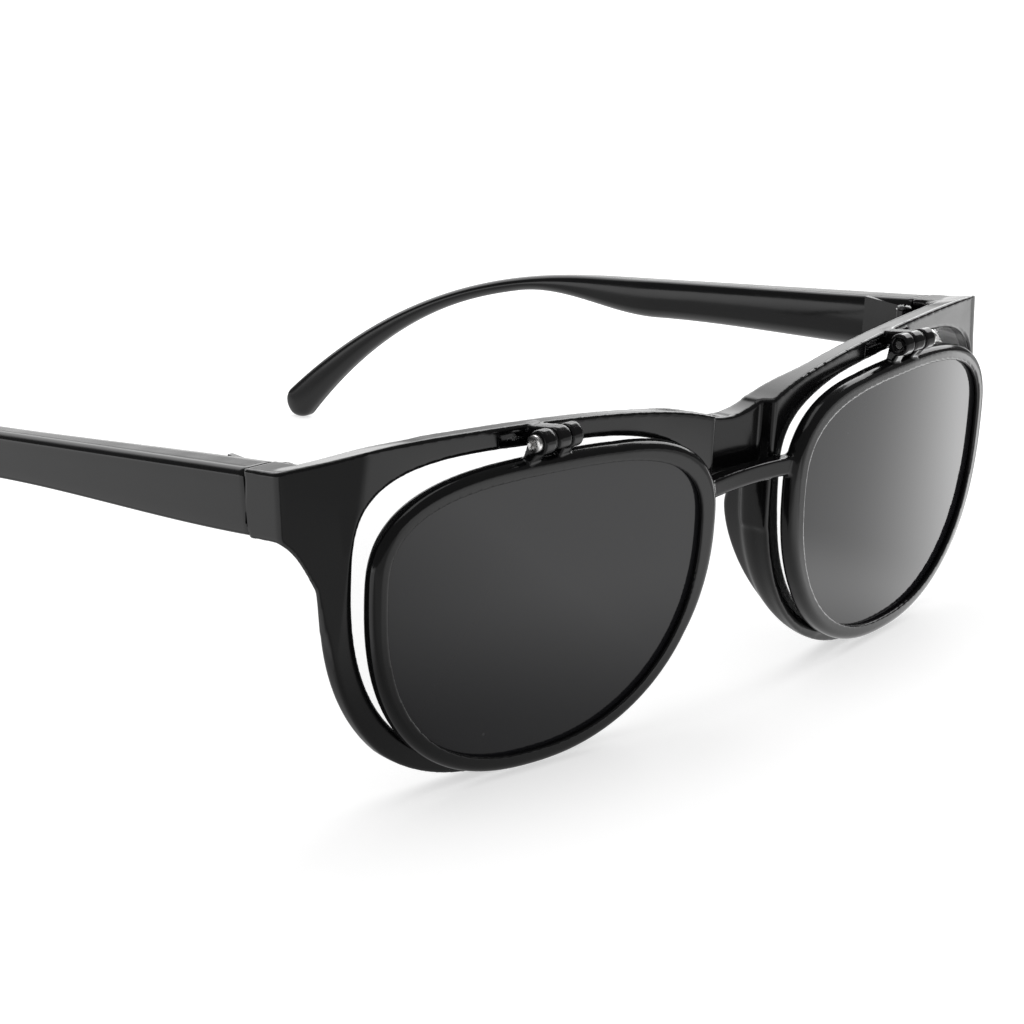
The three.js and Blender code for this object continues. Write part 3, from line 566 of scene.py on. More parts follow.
def frontField(x, y, z):
    m, b, edge = mainFront, bridge, mainFront["edge"]
    face = rimY(x)
    ramp = (b["face"] + b["ramp"] * (b["half"] - x) - y) / math.hypot(1, b["ramp"])
    nose = softUnder(ramp, b["face"] - y, b["rampFillet"])
    front = softOver((face - y) * math.cos(rimTurn), nose, b["rampEdge"])
    behind = y - b["face"] - b["thickness"]
    tapered = (behind + b["rearTaper"] * (x - b["rearReach"])) / math.hypot(1, b["rearTaper"])
    rear = softOver(behind, tapered, b["rearSoft"])
    back = softUnder((y - face - m["thickness"]) * math.cos(rimTurn), rear, b["rearSoft"])
    gusset = (y - face - m["thickness"] - m["gusset"] * (x - m["gussetFrom"])) / math.hypot(1, m["gusset"])
    web = softOver(gusset, m["endTop"] - m["endHeight"] - z, m["gussetFoot"])
    back = softUnder(back, web, m["gussetSoft"])
    fallen = z + topFall(x) * (y - face)
    opening = clearTable(x, z)
    lip, lowerLip = m["noseLip"]
    noseLip = lip + lowerLip * partWay(z, *m["noseLipLower"])
    lens = opening + m["lip"] + partWay(x, *m["noseLipSpan"]) * noseLip
    rim = opening - m["rimWidth"] - m["broad"] * partWay(x, *m["broadSpan"]) * partWay(z, *m["broadLower"])
    brow = browTable(x, fallen)
    low = b["top"] - b["height"] + b["arch"] * (1 - (x / b["reach"]) ** 2)
    high = b["top"] + b["rise"] * np.minimum(x / b["half"], 1) ** 2
    beam = inAll(low - z, fallen - high, x - b["reach"])
    lower = partWay(z, *m["lowerSpan"])
    outline = softUnder(rim, brow, m["browSoft"][0] + m["browSoft"][1] * lower)
    outline = softUnder(outline, beam, b["rimSoft"] + lower)
    sheet = roundBoth(outline, back, edge + (m["backEdge"] - edge) * lower)
    corner = roundBoth(softOver(cornerTable(y, z), brow, m["cornerBrow"]), m["cornerX"] - x, edge)
    block = roundBoth(blockTable(y, z), innerX - x, edge)
    body = softUnder(sheet, np.minimum(corner, block),
                     m["cornerSoft"][0] + m["cornerSoft"][1] * partWay(z, *m["cornerSpan"]))
    sweepX = m["sweepStart"] + m["sweepLean"] * (m["endTop"] - z)
    sweep = (rimY(m["sweepStart"]) + x - sweepX - y) / math.sqrt(2 + m["sweepLean"] ** 2)
    facing = softOver(front, sweep, m["sweepSoft"] + m["wrap"] * partWay(z, *m["wrapSpan"]))
    body = roundBoth(body, facing, edge - m["browEdgeCut"] * partWay(z, *m["browEdgeSpan"]))
    jointCut = m["jointEdgeCut"] * partWay(y - jointY, *m["jointEdgeSpan"])
    body = roundBoth(body, x - m["halfWidth"], edge - jointCut)
    body = roundBoth(body, -lens, m["openEdge"])
    pocket = inAll(between(x, innerLug[0] - hingePocket["toNose"], outerLug[1] + hingePocket["toTemple"]),
                   y - face - hingePocket["depth"], hingePocket["lip"] - lens,
                   between(z, 0, hingePocket["top"]))
    body = roundBoth(body, -pocket, hingePocket["edge"])
    ring = clearTable(x - nosePad["flare"] * (y - nosePad["root"]), z)
    pad = roundBoth(between(ring, m["rimWidth"] - nosePad["thickness"], m["rimWidth"]),
                    padTable(y, z), nosePad["round"])
    body = softUnder(body, np.maximum(pad, x - lensSpread), nosePad["blend"])
    lug = roundBoth(lugTable(y, z), between(x, frameLug[0], frameLug[1]), flipHinge["frameLugEdge"])
    body = roundEither(body, lug, flipHinge["frameLugFillet"])
    room, reach = templeHinge["room"], flipHinge["boreReach"]
    seat = inAll(between(x, leafX - room, leafX + templeHinge["leaf"] + room),
                 between(y, jointY - templeHinge["length"] - room, jointY + templeHinge["seatReach"]),
                 between(z, knuckleLow - room, knuckleLow + hingeStack + room))
    axle = np.hypot(y - hingeAxis["y"], z - hingeAxis["z"]) - flipHinge["bore"]
    bore = np.maximum(axle, between(x, frameLug[0] - reach, frameLug[1] + reach))
    return inAll(body, -seat, -bore)


frontSkin = skinFromField("frontFrame", frontField, *mainFront["box"], mainFront["grid"])
dress(frontSkin, blackGloss)
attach(frontSkin, "front")
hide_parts("front_frame")


# Flip-up front

flipFront = {
    "rimWidth": 2.3, "thickness": 2.6, "edge": 0.55, "frontEdge": 1.2, "innerEdge": 0.15,
    "grid": 0.23, "box": ((0, -5.0, -24.5), (66.5, 7.6, 25.6)),
    "barHeight": 2.6, "barArch": 0.6, "barTop": 11.5, "barThickness": 2.1, "barGap": -0.1, "barEdge": 0.3,
    "barFillet": 0.6, "grooveFront": 0.75, "grooveBack": 2.15, "grooveDepth": 1.05}
flipView = ((-34, -28), (34, 26))
lugView = ((-6, 14), (8, 28))
darkTable = distanceTable(lensOutline(darkOpening), *flipView)
flipOuterTable = distanceTable(lensOutline(darkOpening, flipFront["rimWidth"], rimSwell), *flipView)


def flipLugTable(span):
    face = (span[0] - lensSpread) * math.tan(rimTurn)
    foot = darkOpening["top"] + flipFront["rimWidth"] / 2
    neckBack = face + flipFront["thickness"] - flipHinge["neckBack"]
    neck = [(face + flipHinge["neckSetback"], foot), (neckBack, foot)]
    barrel = arc((hingeAxis["y"], hingeAxis["z"]), flipHinge["lugRadius"], 0, 270)
    return distanceTable(neck + barrel, *lugView, cell=0.1)


innerLugTable, outerLugTable = flipLugTable(innerLug), flipLugTable(outerLug)


def flipField(x, y, z):
    f, h = flipFront, flipHinge
    u = (x - lensSpread) * math.cos(rimTurn) + y * math.sin(rimTurn)
    v = y * math.cos(rimTurn) - (x - lensSpread) * math.sin(rimTurn)
    lens = darkTable(u, z)
    body = roundBoth(roundBoth(flipOuterTable(u, z), v - f["thickness"], f["edge"]), -v, f["frontEdge"])
    barBack = rimY(bridge["half"]) - f["barGap"]
    reach = lensSpread - (darkOpening["halfWidth"] + f["rimWidth"]) * math.cos(rimTurn) + f["rimWidth"] / 2
    arch = f["barArch"] * (1 - (x / reach) ** 2)
    bar = roundBoth(between(z - arch, f["barTop"] - f["barHeight"], f["barTop"]),
                    between(y, barBack - f["barThickness"], barBack), f["barEdge"])
    body = roundEither(body, np.maximum(bar, x - reach), f["barFillet"])
    for span, table in ((innerLug, innerLugTable), (outerLug, outerLugTable)):
        lug = roundBoth(table(y, z), between(x, span[0], span[1]), h["lugEdge"])
        body = roundEither(body, lug, h["lugFillet"])
    body = roundBoth(body, -lens, f["innerEdge"])
    groove = np.maximum(between(v, f["grooveFront"], f["grooveBack"]), lens - f["grooveDepth"])
    radius = np.hypot(y - hingeAxis["y"], z - hingeAxis["z"])
    bore = np.maximum(radius - h["bore"],
                      between(x, innerLug[0] - h["boreReach"], outerLug[1] + h["boreReach"]))
    turned = np.arctan2(y - hingeAxis["y"], z - hingeAxis["z"])
    sixth = np.mod(turned + math.pi / 6, math.pi / 3) - math.pi / 6
    hexagon = radius * np.cos(sixth) - h["nutRadius"] * math.cos(math.pi / 6)
    nutRoom = np.maximum(hexagon, between(x, innerLug[0] - h["boreReach"], innerLug[0] + h["nutDepth"]))
    return inAll(body, -groove, -bore, -nutRoom)


flipSkin = skinFromField("flipFrame", flipField, *flipFront["box"], flipFront["grid"])
dress(flipSkin, blackGloss)
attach(flipSkin, "flip_front")
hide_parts("flip_frame")


# Temples: one section, drawn out along the side view.
# Its edges go from the outer top to the inner top, the inner foot and the outer foot.

templeArm = {
    "reach": 153.0, "gap": 0.05, "bendStart": 70.0, "tipDrop": 25.3, "bendPower": 2.35,
    "tipInward": 6.0, "inwardPower": 1.6, "height": (6.8, 2.4, 6.4), "thickness": (3.8, 2.6, 3.4),
    "narrowStart": 58.0, "neckStart": 93.0, "neckEnd": 103.0, "edges": (1.1, 0.9, 2.4, 0.8), "edgeSteps": 6,
    "crown": 0.35, "crownHeight": 1.2, "crownThick": 1.9, "rings": 200, "firstRing": 1.0,
    "tipRings": 14, "tipAngle": 88.5, "tipPower": 0.6, "endBevel": ((0.0, 0.06), (0.03, 0.02), (0.08, 0.0))}


def easeStep(low, high, at):
    t = min(1, max(0, (at - low) / (high - low)))
    return t * t * (3 - 2 * t)


def templeMeasure(s, start, others):
    middle, neck, tip = others
    value = start + (middle - start) * easeStep(0, templeArm["narrowStart"], s)
    value += (neck - value) * easeStep(templeArm["narrowStart"], templeArm["neckStart"], s)
    widen = max(0, s - templeArm["neckEnd"]) / (templeArm["reach"] - templeArm["neckEnd"])
    return value + (tip - value) * widen * widen


def sectionRing(halfHeight, halfThick, crown):  # (out, up) round the section, from the outer top
    points = []
    steps = templeArm["edgeSteps"]
    signs = ((1, 1), (-1, 1), (-1, -1), (1, -1))
    for quarter, ((sx, sz), r) in enumerate(zip(signs, templeArm["edges"])):
        r = min(r, halfHeight * 0.98, halfThick * 0.98)
        for n in range(steps + 1):
            a = math.radians(90 * quarter + 90 * n / steps)
            points.append((sx * (halfThick - r) + r * math.cos(a), sz * (halfHeight - r) + r * math.sin(a)))
    ring = []
    for n, point in enumerate(points):
        following = points[(n + 1) % len(points)]
        ring.append(point)
        if n % (steps + 1) == steps:
            for share in (0.2, 0.4, 0.6, 0.8):
                ring.append(tuple(point[k] + (following[k] - point[k]) * share for k in (0, 1)))
    bulge = [crown * (1 - (up / halfHeight) ** 2) if out < 0 else 0 for out, up in ring]
    return [(out - b * min(1, -out / halfThick) if out < 0 else out, up) for (out, up), b in zip(ring, bulge)]


def templeRings(side):
    t = templeArm

    def bend(s):
        return max(0, (s - t["bendStart"]) / (t["reach"] - t["bendStart"]))

    def topAt(s):
        return np.array([s, -t["tipDrop"] * bend(s) ** t["bendPower"]])

    stations = [(t["gap"] + s, inset) for s, inset in t["endBevel"]]
    stations += [(s, 0.0) for s in np.linspace(t["gap"] + t["firstRing"], t["reach"], t["rings"])]
    rings = []
    for s, inset in stations:
        here = topAt(s)
        ahead = topAt(s + 0.01) - here
        ahead /= np.linalg.norm(ahead)
        down = np.array([ahead[1], -ahead[0]])
        height = templeMeasure(s, mainFront["endHeight"], t["height"])
        thick = templeMeasure(s, mainFront["endWidth"], t["thickness"])
        outer = mainFront["halfWidth"] - t["tipInward"] * bend(s) ** t["inwardPower"]
        rings.append((here + down * height / 2, down, outer - thick / 2,
                      height / 2 - inset, thick / 2 - inset))
    middle, down, out, halfHeight, halfThick = rings[-1]
    slant = -t["tipInward"] * t["inwardPower"] / (t["reach"] - t["bendStart"])
    for n in range(1, t["tipRings"] + 1):
        a = math.radians(t["tipAngle"] * n / t["tipRings"])
        far = middle + np.array([-down[1], down[0]]) * halfHeight * math.sin(a)
        narrow = halfThick * math.cos(a) ** t["tipPower"]
        rings.append((far, down, out + slant * halfHeight * math.sin(a), halfHeight * math.cos(a), narrow))
    verts = []
    cosine, sine = math.cos(templeSlope), math.sin(templeSlope)
    for centre, down, out, halfHeight, halfThick in rings:
        crown = t["crown"] * min(1, halfHeight / t["crownHeight"]) * min(1, halfThick / t["crownThick"])
        for dx, up in sectionRing(halfHeight, halfThick, crown):
            s, drop = centre - down * up
            verts.append((side * (out + dx), jointY + s * cosine + drop * sine,
                          jointTop - s * sine + drop * cosine))
    return verts, len(rings)


def makeTemple(name, side):
    verts, count = templeRings(side)
    size = len(verts) // count
    faces = []
    for n in range(count - 1):
        for k in range(size):
            a, b = n * size + k, n * size + (k + 1) % size
            faces.append((a, b, b + size, a + size))
    for first in (0, (count - 1) * size):
        verts.append(tuple(np.mean(verts[first:first + size], axis=0)))
        for k in range(size):
            a, b = first + k, first + (k + 1) % size
            faces.append((b, a, len(verts) - 1) if first == 0 else (a, b, len(verts) - 1))
    if side < 0:
        faces = [face[::-1] for face in faces]
    piece = meshObject(name, verts, faces)
    dress(piece, blackGloss)
    return piece


for sideName, side in (("right", -1), ("left", 1)):
    arm = makeTemple("temple" + sideName.capitalize(), side)
    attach(arm, sideName + "_temple")
    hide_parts("temple_" + sideName)

for sideName in ("right", "left"):
    dress(frame["nodes"]["dark_lens_" + sideName], darkLensGloss)
    dress(frame["nodes"]["clear_lens_" + sideName], clearLensGloss)


# Hardware, grown by node trees: screws, hinge leaves with knuckles, nuts and washers

crispAngle = math.radians(32)


def growTree(name, inputs):
    return newTree(name, "GeometryNodeTree", inputs, "Geometry", "Geometry")


def vector(tree, x, y, z):
    return put(tree, "ShaderNodeCombineXYZ", {"X": x, "Y": y, "Z": z})


def upBy(tree, z):
    return vector(tree, 0.0, 0.0, z)


def times(tree, a, b):
    return calc(tree, "MULTIPLY", a, b)


def moved(tree, body, offset, **more):
    return put(tree, "GeometryNodeTransform", {"Geometry": body, "Translation": offset, **more})


def rod(tree, radius, length, middle, sides=48):
    body = put(tree, "GeometryNodeMeshCylinder", {"Vertices": sides, "Radius": radius, "Depth": length})
    return moved(tree, body, middle)


def together(tree, *parts):
    return put(tree, "GeometryNodeMeshBoolean", {1: list(parts)}, operation="UNION", solver="EXACT")


def cutAway(tree, whole, *parts):
    feeds = {0: whole, 1: list(parts)}
    return put(tree, "GeometryNodeMeshBoolean", feeds, operation="DIFFERENCE", solver="EXACT")


def finishTree(tree, body, material):
    smooth = put(tree, "GeometryNodeSetShadeSmooth", {"Geometry": body}, domain="FACE")
    angle = put(tree, "GeometryNodeInputMeshEdgeAngle", {})
    sharp = put(tree, "FunctionNodeCompare", {0: angle, 1: crispAngle}, operation="GREATER_THAN")
    crisp = put(tree, "GeometryNodeSetShadeSmooth", {0: smooth, 1: sharp, 2: False}, domain="EDGE")
    real = put(tree, "GeometryNodeRealizeInstances", {"Geometry": crisp})
    return endTree(tree, put(tree, "GeometryNodeSetMaterial", {"Geometry": real, "Material": material}))


def screwTree():  # stands on z = 0, head up, with a cross recess
    tree, given = growTree("crossScrew", [
        ("Shaft Radius", "Float", 0.6), ("Shaft Length", "Float", 6.0), ("Head Radius", "Float", 1.1),
        ("Head Height", "Float", 0.8), ("Crown", "Float", 0.35), ("Crown Power", "Float", 3.0),
        ("Slot Width", "Float", 0.34), ("Slot Length", "Float", 1.3), ("Slot Depth", "Float", 0.45),
        ("Slot Turn", "Float", 0.5), ("Material", "Material", None)])
    length, height = given["Shaft Length"], given["Head Height"]
    overlap = calc(tree, "MULTIPLY_ADD", height, 0.5, length)
    shaft = rod(tree, given["Shaft Radius"], overlap, upBy(tree, times(tree, overlap, 0.5)))
    disc = put(tree, "GeometryNodeMeshCylinder", {
        "Vertices": 64, "Side Segments": 1, "Fill Segments": 12,
        "Radius": given["Head Radius"], "Depth": height})
    place = put(tree, "GeometryNodeInputPosition", {})
    split = put(tree, "ShaderNodeSeparateXYZ", {0: place}).node.outputs
    flat = put(tree, "ShaderNodeVectorMath", {0: place, 1: (1.0, 1.0, 0.0)}, operation="MULTIPLY")
    off = put(tree, "ShaderNodeVectorMath", {0: flat}, operation="LENGTH").node.outputs["Value"]
    share = calc(tree, "POWER", calc(tree, "DIVIDE", off, given["Head Radius"]), given["Crown Power"])
    upper = calc(tree, "GREATER_THAN", split["Z"], 0.0)
    drop = times(tree, times(tree, share, upper), times(tree, given["Crown"], -1.0))
    domed = put(tree, "GeometryNodeSetPosition", {"Geometry": disc, "Offset": upBy(tree, drop)})
    head = moved(tree, domed, upBy(tree, overlap))
    top = calc(tree, "ADD", length, height)
    bar = put(tree, "GeometryNodeMeshCube", {"Size": vector(
        tree, given["Slot Length"], given["Slot Width"], times(tree, given["Slot Depth"], 2.0))})
    points = put(tree, "GeometryNodePoints", {"Count": 2})
    quarter = times(tree, put(tree, "GeometryNodeInputIndex", {}), math.pi / 2)
    cross = put(tree, "GeometryNodeInstanceOnPoints", {
        "Points": points, "Instance": bar, "Rotation": upBy(tree, quarter)})
    cross = moved(tree, cross, upBy(tree, top), Rotation=upBy(tree, given["Slot Turn"]))
    return finishTree(tree, cutAway(tree, together(tree, shaft, head), cross), given["Material"])


def leafTree():  # a plate along y with knuckles about the pin at x = y = 0, the plate outwards of it
    tree, given = growTree("knuckledLeaf", [
        ("Plate From", "Float", -4.2), ("Plate To", "Float", 0.0), ("Plate Inner", "Float", 0.6),
        ("Plate Thickness", "Float", 0.8), ("Stack Height", "Float", 6.0), ("Knuckle Radius", "Float", 1.4),
        ("Knuckle Height", "Float", 1.9), ("Pitch", "Float", 2.02), ("First", "Float", 0.0),
        ("Count", "Int", 2), ("Other First", "Float", 1.0), ("Other Count", "Int", 1),
        ("Room", "Float", 0.15), ("Bore", "Float", 0.7), ("Material", "Material", None)])
    stackHeight, thick, pitch, tall, radius = [given[label] for label in (
        "Stack Height", "Plate Thickness", "Pitch", "Knuckle Height", "Knuckle Radius")]
    half = times(tree, stackHeight, 0.5)
    long = calc(tree, "SUBTRACT", given["Plate To"], given["Plate From"])
    plate = put(tree, "GeometryNodeMeshCube", {"Size": vector(tree, thick, long, stackHeight)})
    plate = moved(tree, plate, vector(
        tree, calc(tree, "MULTIPLY_ADD", thick, 0.5, given["Plate Inner"]),
        calc(tree, "MULTIPLY_ADD", long, 0.5, given["Plate From"]), half))

    def knuckles(start, count, ringRadius, height):
        low = calc(tree, "MULTIPLY_ADD", tall, 0.5, times(tree, start, pitch))
        line = put(tree, "GeometryNodeMeshLine", {
            "Count": count, "Start Location": upBy(tree, low), "Offset": upBy(tree, times(tree, pitch, 2.0))})
        ring = put(tree, "GeometryNodeMeshCylinder", {"Vertices": 48, "Radius": ringRadius, "Depth": height})
        copies = put(tree, "GeometryNodeInstanceOnPoints", {"Points": line, "Instance": ring})
        return put(tree, "GeometryNodeRealizeInstances", {"Geometry": copies})

    roomy = calc(tree, "ADD", radius, given["Room"])
    gap = calc(tree, "MULTIPLY_ADD", calc(tree, "SUBTRACT", pitch, tall), 2.0, tall)
    plate = cutAway(tree, plate, knuckles(given["Other First"], given["Other Count"], roomy, gap))
    whole = together(tree, plate, knuckles(given["First"], given["Count"], radius, tall))
    bore = rod(tree, given["Bore"], times(tree, stackHeight, 2.0), upBy(tree, half))
    return finishTree(tree, cutAway(tree, whole, bore), given["Material"])


def ringTree():
    tree, given = growTree("boredRing", [
        ("Sides", "Int", 6), ("Radius", "Float", 1.1), ("Bore", "Float", 0.7), ("Thickness", "Float", 1.1),
        ("Material", "Material", None)])
    middle = upBy(tree, times(tree, given["Thickness"], 0.5))
    disc = rod(tree, given["Radius"], given["Thickness"], middle, given["Sides"])
    bore = rod(tree, given["Bore"], times(tree, given["Thickness"], 3.0), middle)
    return finishTree(tree, cutAway(tree, disc, bore), given["Material"])


trees = {"screw": screwTree(), "leaf": leafTree(), "ring": ringTree()}


def grow(name, tree, values, place):
    seed = addObject(name + "Seed", bpy.data.meshes.new(name + "Seed"))
    modifier = seed.modifiers.new(name, "NODES")
    modifier.node_group = trees[tree]
    for item in trees[tree].interface.items_tree:
        if item.in_out == "INPUT" and item.name in values:
            modifier[item.identifier] = values[item.name]
    graph = bpy.context.evaluated_depsgraph_get()
    mesh = bpy.data.meshes.new_from_object(seed.evaluated_get(graph), depsgraph=graph)
    bpy.data.objects.remove(seed)
    matrix = toTable @ place
    mesh.transform(matrix)
    if matrix.determinant() < 0:
        mesh.flip_normals()
    mesh.name = name
    print("grown", name, len(mesh.polygons), "faces")
    return addObject(name, mesh)


flipScrew = {
    "Shaft Radius": 0.6, "Head Radius": 1.15, "Head Height": 0.8, "Crown": 0.14, "Slot Width": 0.3,
    "Slot Length": 1.35, "Slot Depth": 0.5, "Material": brightSteel}
flipNut = {"Sides": 6, "Radius": 1.1, "Thickness": 1.1, "Material": blackSteel}
flipWasher = {"Sides": 48, "Radius": 1.4, "Thickness": flipHinge["washer"], "Material": nylonMatt}
templeScrew = {
    "Shaft Radius": 0.6, "Shaft Length": hingeStack + templeHinge["pinSpare"], "Head Radius": 1.2,
    "Head Height": 0.6, "Crown": 0.25, "Slot Width": 0.32, "Slot Length": 1.3, "Slot Depth": 0.35,
    "Material": blackSteel}
hingeLeaf = {
    "Plate Inner": leafX - pinX, "Plate Thickness": templeHinge["leaf"], "Stack Height": hingeStack,
    "Knuckle Radius": templeHinge["knuckle"], "Knuckle Height": templeHinge["knuckleHeight"],
    "Pitch": templeHinge["knuckleHeight"] + templeHinge["knuckleGap"], "Bore": 0.7, "Material": blackSteel}
frontLeaf = {
    **hingeLeaf, "Plate From": -templeHinge["length"], "Plate To": 0.0,
    "First": 0.0, "Count": 2, "Other First": 1.0, "Other Count": 1}
templeLeaf = {
    **hingeLeaf, "Plate From": 0.3, "Plate To": templeHinge["templeLength"],
    "First": 1.0, "Count": 1, "Other First": 0.0, "Other Count": 2}


def fitHardware(name, tree, values, place, body, node):
    piece = grow(name, tree, values, place)
    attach(piece, body)
    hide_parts(node)


nutStart = innerLug[0] + flipHinge["gap"]
flipScrew["Shaft Length"] = outerLug[1] + flipHinge["gap"] - nutStart
for sideName, side in (("Right", -1), ("Left", 1)):
    low = sideName.lower()
    mirror = Matrix.Diagonal((side, 1, 1, 1))
    axisPlace = Matrix.Translation((0, hingeAxis["y"], hingeAxis["z"]))
    onAxis = mirror @ axisPlace @ Matrix.Rotation(math.pi / 2, 4, "Y")
    atNut = onAxis @ Matrix.Translation((0, 0, nutStart))
    atWasher = onAxis @ Matrix.Translation((0, 0, frameLug[1] + flipHinge["gap"]))
    atPin = mirror @ Matrix.Translation((pinX, jointY, knuckleLow))
    fitHardware("flipScrew" + sideName, "screw", flipScrew, atNut, "flip_front", "flip_screw_" + low)
    fitHardware("flipNut" + sideName, "ring", flipNut, atNut, "flip_front", "flip_nut_" + low)
    fitHardware("flipWasher" + sideName, "ring", flipWasher, atWasher, "flip_front", "flip_washer_" + low)
    fitHardware("templeScrew" + sideName, "screw", templeScrew, atPin, "front", "temple_screw_" + low)
    fitHardware("frontLeaf" + sideName, "leaf", frontLeaf, atPin, "front", "front_leaf_" + low)
    fitHardware("templeLeaf" + sideName, "leaf", templeLeaf, atPin, low + "_temple", "temple_leaf_" + low)


# Stage: pale floor, soft lamps, camera at the photographed angle.
# Four numbers in a row are the two ends of an easing and what it gives there.

# The floor glows for the camera, but less near the glasses: painted shade round them.
stageLook = {
    "floorSize": 6.0, "floorColour": 0.8, "paintedShadeCentre": (0.01, -0.085, 0), "glowWithPaintedShade": (0.09, 0.3, 0.58, 0.85)}
# Painted reflection of the table, seen only in the gloss: a painted pool of light to the right, painted shade
# under and in front of the glasses.
paintedTableReflection = {  # how light the table looks in the gloss, by place in metres
    "rimLine": 0.083, "foreSlope": 16.3, "foreLevel": 1.3, "foreLeast": 0.43, "foreMost": 1.25,
    "nearDim": (-0.11, -0.085, 0.85, 1), "rightDim": (0.045, 0.075, 1, 0.55),
    "shadeDepth": (-0.05, -0.005, 0, 0.45), "shadeSide": (0.0, 0.03, 1, 0),
    "aftSide": (-0.11, -0.08, 0.95, 0.42), "aftFar": (0.2, 0.35, 0, 0.4), "foreToAft": (-0.02, 0.02, 0, 1),
    "litLean": 2.83, "litReach": 0.073, "litMost": 1.1, "litPower": 2.5, "litEnd": (0.085, 0.13, 2.35, 0),
    "litStart": (-0.04, 0.02, 0, 0.33), "litSide": (0.02, 0.06, 0, 1)}
# The two cards are painted reflections, seen only in the gloss; they light nothing.
paintedSkyReflection = {  # two pale cards in the gloss, one behind to the right and one higher up behind
    "cardToward": (0.65, 0.76), "cardSide": (0.79, 0.95, 0, 1), "cardHeight": (0.04, 0.15, 1.4, 0.35),
    "highToward": (0.43, 0.9), "highSide": (0.6, 0.75, 0, 1), "highFoot": (0.15, 0.28, 0, 1.65),
    "highTop": (0.65, 0.85, 1, 0), "rest": 0.13, "fill": 0.42}


# the table as the gloss sees it: painted light and painted shade, not lit by the lamps
def paintedFloorReflection(tree, x, y):
    g = paintedTableReflection
    y = calc(tree, "ADD", y, g["rimLine"])
    fore = calc(tree, "MULTIPLY_ADD", x, g["foreSlope"], g["foreLevel"])
    fore = calc(tree, "MINIMUM", calc(tree, "MAXIMUM", fore, g["foreLeast"]), g["foreMost"])
    fore = times(tree, fore, ease(tree, y, *g["nearDim"]))
    fore = times(tree, fore, ease(tree, x, *g["rightDim"]))
    shade = times(tree, ease(tree, y, *g["shadeDepth"]), ease(tree, x, *g["shadeSide"]))
    fore = times(tree, fore, calc(tree, "SUBTRACT", 1.0, shade))
    aft = calc(tree, "ADD", ease(tree, x, *g["aftSide"]), ease(tree, y, *g["aftFar"]))
    side = ease(tree, y, *g["foreToAft"])
    base = calc(tree, "ADD", times(tree, fore, calc(tree, "SUBTRACT", 1.0, side)), times(tree, aft, side))
    along = calc(tree, "MULTIPLY_ADD", y, g["litLean"], x)
    reached = calc(tree, "MAXIMUM", calc(tree, "DIVIDE", along, g["litReach"]), 0.0)
    share = calc(tree, "POWER", calc(tree, "MINIMUM", reached, g["litMost"]), g["litPower"])
    lit = times(tree, share, ease(tree, along, *g["litEnd"]))
    lit = calc(tree, "ADD", lit, ease(tree, along, *g["litStart"]))
    return calc(tree, "MULTIPLY_ADD", lit, ease(tree, x, *g["litSide"]), base)


def seenStraight(tree, path):  # by the camera, or through a clear lens
    return calc(tree, "MAXIMUM", path["Is Camera Ray"], path["Is Transmission Ray"])


def makeFloor():
    half = stageLook["floorSize"] / 2
    mesh = bpy.data.meshes.new("floor")
    corners = [(-half, -half, 0), (half, -half, 0), (half, half, 0), (-half, half, 0)]
    mesh.from_pydata(corners, [], [(0, 1, 2, 3)])
    floor = addObject("floor", mesh)
    material = bpy.data.materials.new("paleFloor")
    material.use_nodes = True
    tree = material.node_tree
    tree.nodes.clear()
    path = tree.nodes.new("ShaderNodeLightPath").outputs
    place = tree.nodes.new("ShaderNodeTexCoord").outputs["Object"]
    split = put(tree, "ShaderNodeSeparateXYZ", {0: place}).node.outputs
    # glow seen straight, dimmer near the glasses: painted shade
    away = put(tree, "ShaderNodeVectorMath", {0: place, 1: stageLook["paintedShadeCentre"]}, operation="DISTANCE")
    glowDimmedNearGlasses = times(tree, seenStraight(tree, path), ease(tree, away.node.outputs["Value"], *stageLook["glowWithPaintedShade"]))
    matt = put(tree, "ShaderNodeBsdfDiffuse", {"Color": (stageLook["floorColour"],) * 3 + (1,)})
    glowWithPaintedShade = put(tree, "ShaderNodeEmission", {"Strength": glowDimmedNearGlasses})
    # glossy rays see the painted reflection of the table
    mirror = put(tree, "ShaderNodeEmission", {"Strength": paintedFloorReflection(tree, split["X"], split["Y"])})
    both = put(tree, "ShaderNodeAddShader", {0: matt, 1: glowWithPaintedShade})
    choice = put(tree, "ShaderNodeMixShader", {0: path["Is Glossy Ray"], 1: both, 2: mirror})
    tree.links.new(choice, tree.nodes.new("ShaderNodeOutputMaterial").inputs["Surface"])
    mesh.materials.append(material)


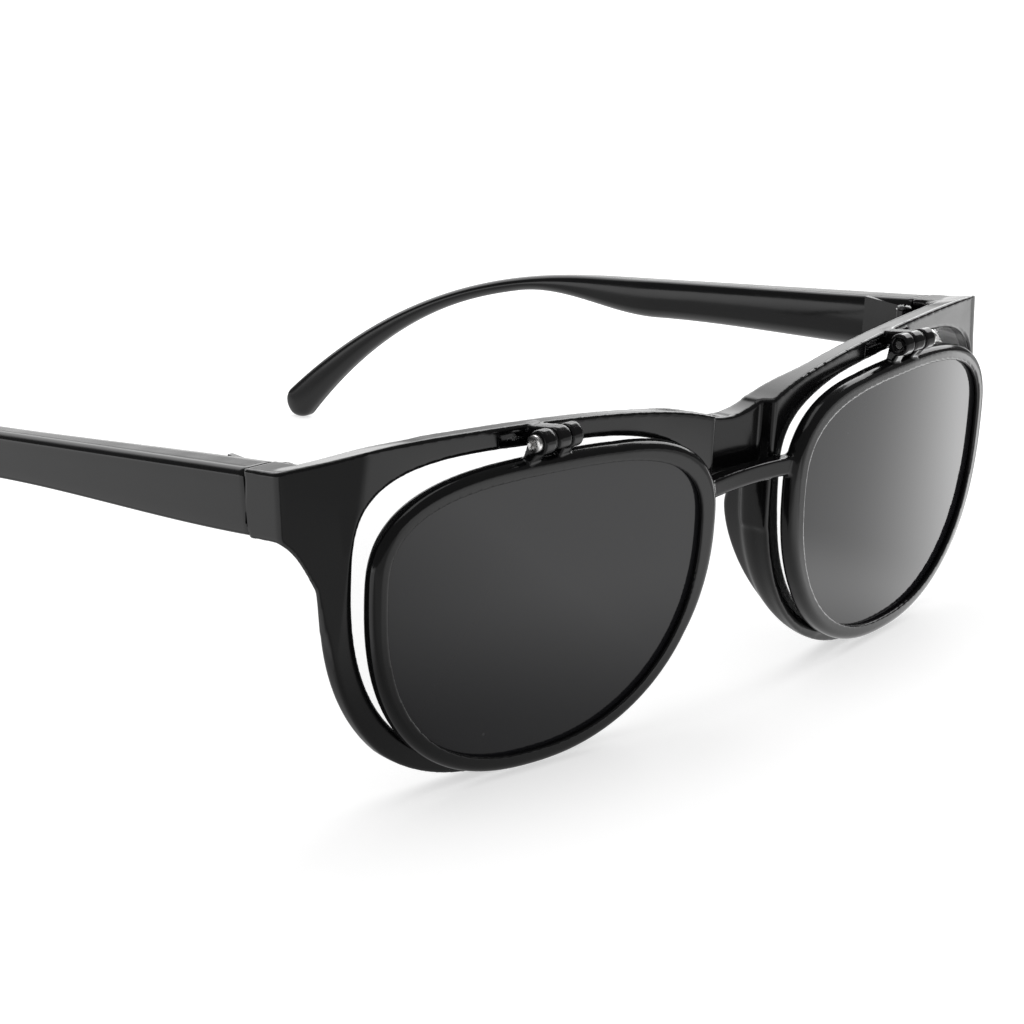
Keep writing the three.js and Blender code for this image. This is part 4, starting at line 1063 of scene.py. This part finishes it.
def makeWorld():
    g = paintedSkyReflection
    world = bpy.data.worlds.new("studio")
    bpy.context.scene.world = world
    world.use_nodes = True
    tree = world.node_tree
    sky = tree.nodes["Background"]
    sky.inputs["Color"].default_value = (1, 1, 1, 1)
    path = tree.nodes.new("ShaderNodeLightPath").outputs
    place = tree.nodes.new("ShaderNodeTexCoord").outputs["Generated"]
    split = put(tree, "ShaderNodeSeparateXYZ", {0: place}).node.outputs
    toward, behind = [
        calc(tree, "MULTIPLY_ADD", split["Y"], g[card][1], times(tree, split["X"], g[card][0]))
        for card in ("cardToward", "highToward")]
    high = times(tree, ease(tree, split["Z"], *g["highFoot"]), ease(tree, split["Z"], *g["highTop"]))
    high = times(tree, ease(tree, behind, *g["highSide"]), high)
    card = times(tree, ease(tree, toward, *g["cardSide"]), ease(tree, split["Z"], *g["cardHeight"]))
    paintedGlossLevel = calc(tree, "ADD", calc(tree, "ADD", card, high), g["rest"])
    shown = seenStraight(tree, path)
    hidden = calc(tree, "SUBTRACT", 1.0, shown)
    # glossy rays see the painted cards: painted highlights and reflections
    glossy = times(tree, path["Is Glossy Ray"], calc(tree, "SUBTRACT", paintedGlossLevel, g["fill"]))
    level = calc(tree, "MULTIPLY_ADD", hidden, calc(tree, "ADD", glossy, g["fill"]), shown)
    tree.links.new(level, sky.inputs["Strength"])


lamps = [
    {"name": "rightSoftbox", "at": (0.8, 0.08, 0.5), "aim": (0, 0, 0.03), "size": (0.7, 0.5), "radiance": 3.2},
    {"name": "topSoftbox", "at": (-0.1, 0.2, 1.0), "aim": (0, 0, 0.03), "size": (0.8, 0.6), "radiance": 1.0}]


def makeLamps():
    for lamp in lamps:
        data = bpy.data.lights.new(lamp["name"], "AREA")
        data.shape = "RECTANGLE"
        data.size, data.size_y = lamp["size"]
        data.energy = lamp["radiance"] * math.pi * data.size * data.size_y
        light = addObject(lamp["name"], data)
        light.location = lamp["at"]
        light.rotation_euler = (Vector(lamp["aim"]) - Vector(lamp["at"])).to_track_quat("-Z", "Y").to_euler()


photoView = {
    "at": (-278.1, -225.6, 128.8), "right": (0.7045, -0.7083, 0.0431), "down": (-0.2083, -0.2645, -0.9416),
    "sensor": 36.0, "focal": 94.74, "shift": (-0.0032, 0.0048), "clip": (0.01, 20.0)}


def makeCamera():
    data = bpy.data.cameras.new("photoCamera")
    data.sensor_width = photoView["sensor"]
    data.lens = photoView["focal"]
    data.shift_x, data.shift_y = photoView["shift"]
    data.clip_start, data.clip_end = photoView["clip"]
    camera = addObject("photoCamera", data)
    right = tableDirection(*photoView["right"])
    up = -tableDirection(*photoView["down"])
    up = (up - right * up.dot(right)).normalized()
    back = right.cross(up)
    place = Matrix((right, up, back)).transposed().to_4x4()
    place.translation = tablePoint(*photoView["at"])
    camera.matrix_world = place
    bpy.context.scene.camera = camera


makeFloor()
makeWorld()
makeLamps()
makeCamera()
bpy.context.scene.view_settings.view_transform = "Standard"
print("stage ready")
